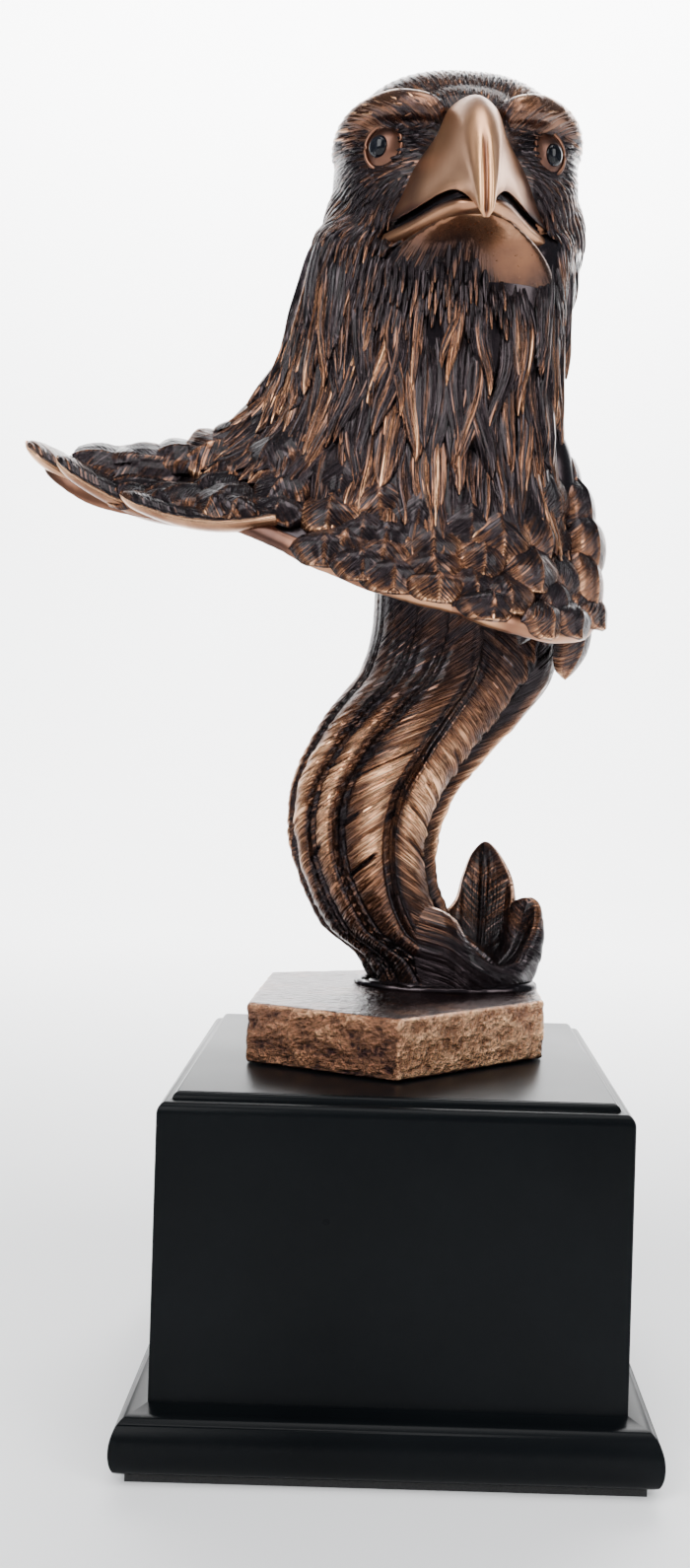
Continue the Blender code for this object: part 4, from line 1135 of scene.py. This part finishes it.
def shoulder_feathers(material):
    """Rounded feathers stacked down the far shoulder, where the cape turns into the column."""
    sheaf = Sheaf(15)
    steps = 20
    for k, (x, y, z, length, width, bright) in enumerate(SHOULDER_FEATHERS):
        out = Vector((0.75, 0.70 if y > 10.0 else -0.62 + 0.1 * (k % 2), 0.2)).normalized()
        fall = Vector((0.24 - 0.06 * k, 0.05, -1.0)).normalized()
        spine = [Vector((x, y, z)) + fall * length * i / steps + out * 2.8 * math.sin(math.pi * i / steps)
                 for i in range(steps + 1)]
        sheaf.blade(spine, [out] * (steps + 1), round_widths(width, steps), 2.4, 0.28, 0.4, 0.5, 0.75,
                    0.12 + 0.30 * bright, 950.0 + k, tip_wear=0.15 + 0.7 * bright)
    sheaf.piece("shoulder_feathers", material)


# Column and curl

def tail_feathers(material):
    """The column: long tail feathers side by side, each a vane between dark double shafts.

    gap is the distance to the nearest shaft. The last vane is measured back from its own shaft.
    """
    rows, around = 300, 310
    heights = np.linspace(*COLUMN_ENDS, rows)
    turns = np.linspace(0.0, 360.0, around, endpoint=False)
    size, stops, glow = (np.array([smooth_table(table, z) for z in heights])
                         for table in (COLUMN, TAIL_SHAFTS, TAIL_SHINE))
    shine, depth = glow[:, 0:1], glow[:, 1:2]
    x, y, half_width, half_depth = size.T[..., None]
    front = np.stack([size[:, 0], size[:, 1] - size[:, 3], heights], axis=-1)
    along = np.concatenate([[0.0], np.cumsum(np.linalg.norm(np.diff(front, axis=0), axis=1))])[:, None]
    angle = stops[:, :1] + turns[None]
    vane = np.minimum(sum((angle >= stops[:, k:k + 1]).astype(int) for k in range(1, LAST_VANE + 2)),
                      LAST_VANE)
    row = np.arange(rows)[:, None]
    start, end = stops[row, vane], stops[row, vane + 1]
    reach = np.radians(end - start) * (half_width + half_depth) * 0.5
    last, next_to_last = vane == LAST_VANE, vane == LAST_VANE - 1
    share = (angle - start) / (end - start)
    share = np.where(last, 1.0 - share, share)
    offset = share * reach
    barb = along - BARB_SLANT * offset
    gap = np.minimum(offset, np.where(last | next_to_last, 99.0, reach - offset))

    shaft = bell(gap, 0.62, 0.36)
    gutter = bell(gap, 1.55, 0.42)
    bulge = np.clip(1.0 - np.abs(2.0 * share - 0.96) ** 3.2, 0.0, 1.0)
    ridge_and_highlight = bell(share, 0.42, 0.27)
    broad, mid, fine = (ripple(barb * rate + vane * 41.0) for rate in (0.16, 0.62, 1.7))
    streak = ripple(angle * 0.30 + 7.0) * 0.13 + ripple(angle * 0.11 + 3.0) * 0.30
    height = -0.5 + depth * (1.3 * bulge + 0.8 * ridge_and_highlight + 0.95 * shaft - 0.45 * gutter)
    height += depth * bulge * (0.24 * broad + 0.26 * mid + 0.11 * fine)
    height += (1.0 - depth) * streak
    # Brighter with the table's shine and on a band beside each vane's middle: partly rubbed wear, partly
    # painted highlight. Where the shine falls to 0 near the top, the dark is painted shade under the cape.
    wear_and_painted_light = 0.31 + shine * (0.24 * bulge + 0.42 * ridge_and_highlight + 0.12 * broad + 0.14 * mid + 0.09 * fine)
    wear_and_painted_light -= 0.22 * gutter * depth
    wear_and_painted_light += shaft * depth * (0.06 - 0.16 * shine)
    wear_and_painted_light += (1.0 - depth) * 0.10 * streak
    tooth = 0.10 * ripple(barb * 0.55)
    edge = ease(share + tooth, 0.88, 0.95) * last
    lip = bell(share + tooth, 0.82, 0.06) * last
    recess = ease(share, 0.45, 1.0) * next_to_last
    height -= depth * (2.4 * edge + 2.4 * recess)
    wear_and_painted_light += 0.25 * lip - 0.45 * edge - 0.25 * recess
    for number, z, share_in, share_out, bite in TAIL_SPLITS:
        inner_end = np.interp(z, heights[::-1], along[::-1, 0]) - BARB_SLANT * share_in * SPLIT_VANE_WIDTH
        window = ease(share, share_in - 0.06, share_in + 0.06)
        window = window * (1.0 - ease(share, share_out - 0.04, share_out + 0.04))
        here = (vane == number) * window
        slit = here * bell(barb, inner_end, 0.55)
        height -= bite * slit
        height += 0.45 * bite * here * bell(barb - inner_end, 1.4, 0.9)
        wear_and_painted_light -= 0.55 * min(bite, 1.2) * slit

    sine, cosine = np.sin(np.radians(angle)), np.cos(np.radians(angle))
    outward = unit(stacked(-sine * half_depth, -cosine * half_width, 0.0))
    points = stacked(x - half_width * sine, y - half_depth * cosine, heights[:, None])
    sheaf = Sheaf()
    sheaf.grid(points + outward * height[..., None], wear_and_painted_light, stacked(barb, offset, vane * 7.31))
    sheaf.piece("tail_feathers", material)


def scoop_rings(steps, fine):
    """Rings of the scoop's wall, each from outside its foot up over the lip and down to its floor."""
    centre = Vector((*SCOOP_CENTRE, 0.0))
    level = Vector((0.0, 0.0, 1.0))
    rings = []
    for rim in smooth_line(SCOOP_RIM, steps):
        rim = Vector(rim)
        out = Vector((rim.x, rim.y, 0.0)) - centre
        away = out.normalized()
        line = (centre + out * 0.80 - level * 2.0, centre + out * 0.96 + away * 0.4 + level * rim.z * 0.30,
                centre + out + away * 0.9 + level * rim.z * 0.70, rim + away * 0.2 - level * 0.5,
                rim - away * SCOOP_THICKNESS * 0.5 + level * 0.3, rim - away * SCOOP_THICKNESS - level * 1.2,
                centre + out * 0.70 + level * lerp(SCOOP_FLOOR, rim.z, 0.42),
                centre + out * 0.45 + level * lerp(SCOOP_FLOOR, rim.z, 0.12),
                centre + out * 0.15 + level * SCOOP_FLOOR, centre + out * 0.15 - level * 2.0)
        rings.append(smooth_line(line, fine))
    return np.array(rings)


def scoop_feathers(material):
    """The feather ends that turn up beside the column, like a cupped hand."""
    steps, fine = 24, 11
    points = scoop_rings(steps, fine)
    count, ring = points.shape[:2]
    place = (np.arange(count) / steps)[:, None]
    spot = np.arange(ring) / fine
    from_tip = np.minimum(*(np.abs(place - tip) for tip in SCOOP_TIPS))
    rise = points[..., 2]
    barb = rise - 1.4 * from_tip * 1.9
    outer = ease(spot, 0.3, 1.2) * (1.0 - ease(spot, 2.8, 3.2))
    inner = ease(spot, 4.8, 5.6) * (1.0 - ease(spot, 6.8, 8.0))
    walls = outer + inner
    relief = walls * (0.16 * ripple(barb * 0.8 + 5.0) + 0.08 * ripple(barb * 2.0))
    relief += walls * (0.5 * bell(from_tip, 0.0, 0.16) - 0.3 * bell(from_tip, 0.4, 0.16))
    away = points[..., :2] - np.array(SCOOP_CENTRE)
    away /= np.linalg.norm(away, axis=-1)[..., None] + 0.001
    points[..., :2] += away * (relief * np.where(spot < 4.0, 1.0, -1.0))[..., None]
    tall = ease(rise, 8.0, 24.0)
    wear_and_painted_light = 0.20 + 0.40 * bell(spot, 4.0, 0.9) * (0.3 + tall)
    wear_and_painted_light = wear_and_painted_light + 0.20 * tall * walls * (1.0 + 0.8 * ripple(barb * 0.9)) - 0.08 * bell(from_tip, 0.0, 0.3)
    sheaf = Sheaf()
    sheaf.grid(points, wear_and_painted_light, stacked(barb, from_tip * 2.0, 31.0))
    sheaf.piece("scoop_feathers", material)


def fill_mound(mesh):
    """The low mound that the scoop and the column grow out of, on the plate."""
    x, y = SCOOP_CENTRE
    add_ellipsoid(mesh, (x - 6, y + 1, 0), (24, 14.5, SCOOP_FLOOR + 1.5))


# Plate, base and pad

def fill_plate(mesh):
    """The plate as a bevelled six-sided slab."""
    low = -PLATE_THICKNESS / UNIT
    for x, y in PLATE_CORNERS:
        mesh.verts.new((x * PLATE_WIDTH, y * PLATE_DEPTH + PLATE_CENTRE_Y, low))
    mesh.verts.ensure_lookup_table()
    bottom = mesh.faces.new(mesh.verts[:])
    made = bmesh.ops.extrude_face_region(mesh, geom=[bottom])["geom"]
    top = [part for part in made if isinstance(part, bmesh.types.BMVert)]
    bmesh.ops.translate(mesh, vec=(0, 0, -low), verts=top)
    bmesh.ops.bevel(mesh, geom=mesh.edges[:], offset=0.9, segments=2, affect="EDGES", profile=0.6)


def rock_plate(material):
    """The six-sided plate with rough, hammered sides."""
    mesh = fused("rock_plate", fill_plate, 0.57, 2)
    points, normals = get_vectors(mesh, "co"), get_vectors(mesh, "normal")
    wear_and_painted_light = np.empty(len(points))
    low = -PLATE_THICKNESS / UNIT
    for i, (point, normal) in enumerate(zip(points, normals)):
        x, y, z = point
        side = 0.0 if z < low + 0.4 else math.sqrt(max(0.0, 1.0 - normal[2] ** 2))
        broad = noise.noise((x * 0.16, y * 0.16, z * 0.30))
        chips = noise.noise((x * 0.55 + 7.0, y * 0.55, z * 0.85))
        fine = noise.noise((x * 1.5, y * 1.5 + 3.0, z * 1.5))
        dent = 0.50 * broad + 0.65 * abs(chips) + 0.30 * fine
        edge = math.exp(-(z / 1.1) ** 2) if side > 0.2 else 0.0
        # Plate sides that face -x are darker: painted shade.
        flank_with_shade = 0.60 - 0.30 * max(-normal[0], 0.0) ** 0.5
        wear_and_painted_light[i] = lerp(0.10 + 0.12 * broad, flank_with_shade - 0.50 * dent, side) + 0.25 * edge
        points[i] -= normal * (side * (0.35 + dent) * 0.75 + (1.0 - side) * 0.10 * (broad + 0.6 * chips))
    mesh.vertices.foreach_set("co", points.ravel())
    piece_from(mesh, "rock_plate", material, wear_and_painted_light)


def foot_bead(material):
    """The lumpy cast fillet where the feathers meet the plate."""
    bead = bmesh.new()
    points = []
    for k in range(72):
        angle = math.tau * k / 72
        x = 13 - 24.5 * math.sin(angle) + 0.8 * noise.noise((k * 0.7, 0.0, 0.0))
        y = 20 - 15.5 * math.cos(angle) + 0.8 * noise.noise((k * 0.7, 5.0, 0.0))
        points.append(Vector((x, y, 0.4)))
    add_ring(bead, points, 1.1)
    for vertex in bead.verts:
        vertex.co.z *= 1.0 + 0.5 * noise.noise(vertex.co * 0.9)
    piece_from(mesh_from(bead, "foot_bead"), "foot_bead", material, 0.22)


def arc(centre, radius, start, end, steps=14):
    """Points of an arc in the profile plane, angles in degrees from +r toward +z."""
    points = []
    for k in range(steps + 1):
        angle = math.radians(lerp(start, end, k / steps))
        points.append((centre[0] + radius[0] * math.cos(angle), centre[1] + radius[1] * math.sin(angle)))
    return points


def base_profile():
    """Half widths and heights of the moulded base, from the middle of its underside to its top."""
    bottom, top_z = BASE_LOW.z, BASE_HIGH.z
    foot, body, top = FOOT_WIDTH / 2, BODY_WIDTH / 2, TOP_WIDTH / 2
    foot_top = bottom + FOOT_HEIGHT
    body_top = top_z - CAP_HEIGHT
    round_in = foot - body - FOOT_SHOULDER
    round_up = FOOT_HEIGHT - FOOT_ROUND
    points = [(0.0, bottom), (foot - FOOT_ROUND * 0.4, bottom)]
    points += arc((foot - FOOT_ROUND * 0.4, bottom + FOOT_ROUND), (FOOT_ROUND * 0.4, FOOT_ROUND), -60, 0)
    points += arc((body + FOOT_SHOULDER, bottom + FOOT_ROUND), (round_in, round_up * 0.86), 8, 90)
    points += [(body, foot_top), (body, body_top)]
    ledge = lerp(body, top, 0.55)
    points += arc((ledge, body_top), (body - ledge, CAP_HEIGHT - CAP_LEDGE), 15, 90)[:-1]
    points += [(ledge, body_top + CAP_HEIGHT - CAP_LEDGE)]
    points += arc((top - CAP_LEDGE * 0.3, body_top + CAP_HEIGHT - CAP_LEDGE),
                  (ledge - top - CAP_LEDGE * 0.1, CAP_LEDGE), 10, 75, 6)
    points += [(top, top_z), (0.0, top_z)]
    return points


def moulded_base(material):
    """A moulding profile taken around a square: four turned steps, mitred at the corners."""
    outline = bmesh.new()
    line = [outline.verts.new((r * math.sqrt(2.0), 0.0, z)) for r, z in base_profile()]
    for pair in zip(line, line[1:]):
        outline.edges.new(pair)
    base = add_object("moulded_base", mesh_from(outline, "moulded_base"))
    turn = base.modifiers.new("square", "SCREW")
    turn.steps = turn.render_steps = 4
    turn.use_merge_vertices = True
    turn.merge_threshold = 0.00001
    turn.use_normal_calculate = True
    corners = base.modifiers.new("corners", "BEVEL")
    corners.width = MITRE_ROUND
    corners.segments = 4
    corners.limit_method = "ANGLE"
    corners.angle_limit = math.radians(70.0)
    solid = applied(base)
    piece_from(solid, "moulded_base", material, None, "trophy_base",
               Matrix.Rotation(math.radians(45.0), 4, "Z"))
    solid.set_sharp_from_angle(angle=math.radians(35.0))


# Studio

def studio():
    """The camera at the photograph's view, the paper sweep, and soft lamps."""
    scene = bpy.context.scene
    camera = bpy.data.cameras.new("photo_camera")
    camera.sensor_width = SENSOR
    camera.lens = SENSOR * FOCAL_PIXELS / PHOTO_HEIGHT
    camera.shift_x = -(CENTRE_PIXEL[0] - PHOTO_WIDTH / 2) / PHOTO_HEIGHT
    camera.shift_y = (CENTRE_PIXEL[1] - PHOTO_HEIGHT / 2) / PHOTO_HEIGHT
    camera.clip_start = 0.01
    view = add_object("photo_camera", camera)
    view.location = CAMERA_PLACE
    level = Euler((math.pi / 2, 0.0, 0.0)).to_matrix()
    view.rotation_euler = (level @ Euler((0.0, 0.0, CAMERA_ROLL)).to_matrix()).to_euler()
    scene.camera = view

    floor = add_object("floor", sweep())
    floor.data.materials.append(paper())

    scene.world = bpy.data.worlds.new("studio")
    scene.world.use_nodes = True
    background = scene.world.node_tree.nodes["Background"]
    background.inputs[0].default_value = (0.75, 0.85, 1.0, 1.0)
    background.inputs[1].default_value = 0.30
    for name, place, target, width, height, power in LAMPS:
        lamp = bpy.data.lights.new(name, "AREA")
        lamp.shape = "RECTANGLE"
        lamp.size, lamp.size_y = width, height
        lamp.energy = power
        thing = add_object(name, lamp)
        thing.location = place
        thing.rotation_euler = (Vector(target) - Vector(place)).to_track_quat("-Z", "Y").to_euler()


def sweep():
    """A sheet of paper: the floor, curving up into a backdrop behind the object."""
    bends = [math.radians(a) for a in range(10, 91, 10)]
    rows = [(-2.0, 0.0), (0.9, 0.0)]
    rows += [(0.9 + 0.5 * math.sin(bend), 0.5 - 0.5 * math.cos(bend)) for bend in bends] + [(1.4, 2.4)]
    mesh = bpy.data.meshes.new("floor")
    mesh.from_pydata([(x, y, z) for y, z in rows for x in (-2.0, 2.0)], [],
                     [(2 * k, 2 * k + 1, 2 * k + 3, 2 * k + 2) for k in range(len(rows) - 1)])
    mesh.shade_smooth()
    return mesh


def main():
    studio()
    feather = bronze("feather_bronze", 0.30)
    fine = bronze("fine_feather_bronze", 0.25, 0.05)
    tail = bronze("tail_bronze", 0.13, 0.0, 0.12)
    core = bronze("hollow_bronze", 0.0)
    copper = satin_copper()
    skull = fused("head_skin", fill_skull, 0.85, 7)
    sink_sockets(skull)
    body = fused("body", lambda mesh: (fill_skull(mesh), fill_bust(mesh)), 1.2, 6)
    sink_sockets(body)
    tree = tree_of(body)
    bpy.data.meshes.remove(body)
    covers = [upper_beak(copper), lower_beak(copper)]
    head_feathers(tree, covers, fine)
    points = get_vectors(skull, "co")
    wear_and_painted_light, smooth = skull_finish(points, covers[1])
    set_vectors(skull, "strand", skin_strands(points))
    set_values(skull, "smooth", ease(smooth, 0.1, 0.6))
    piece_from(skull, "head_skin", fine, wear_and_painted_light)
    mouth_lining(core)
    eye_pieces(copper, glossy_black())
    piece_from(fused("bust_skin", fill_bust, 1.3, 2), "bust_skin", core, 0.15)
    neck_locks(feather)
    cape_feathers(feather)
    cape_rim(copper)
    plume_feathers(feather)
    shoulder_feathers(feather)
    tail_feathers(tail)
    scoop_feathers(tail)
    piece_from(fused("feather_mound", fill_mound, 0.9, 3), "feather_mound", core, 0.16)
    rock_plate(rock_bronze())
    foot_bead(core)
    moulded_base(satin_black())
    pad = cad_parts["base_pad"]
    pad.data.materials.clear()
    pad.data.materials.append(felt())


main()
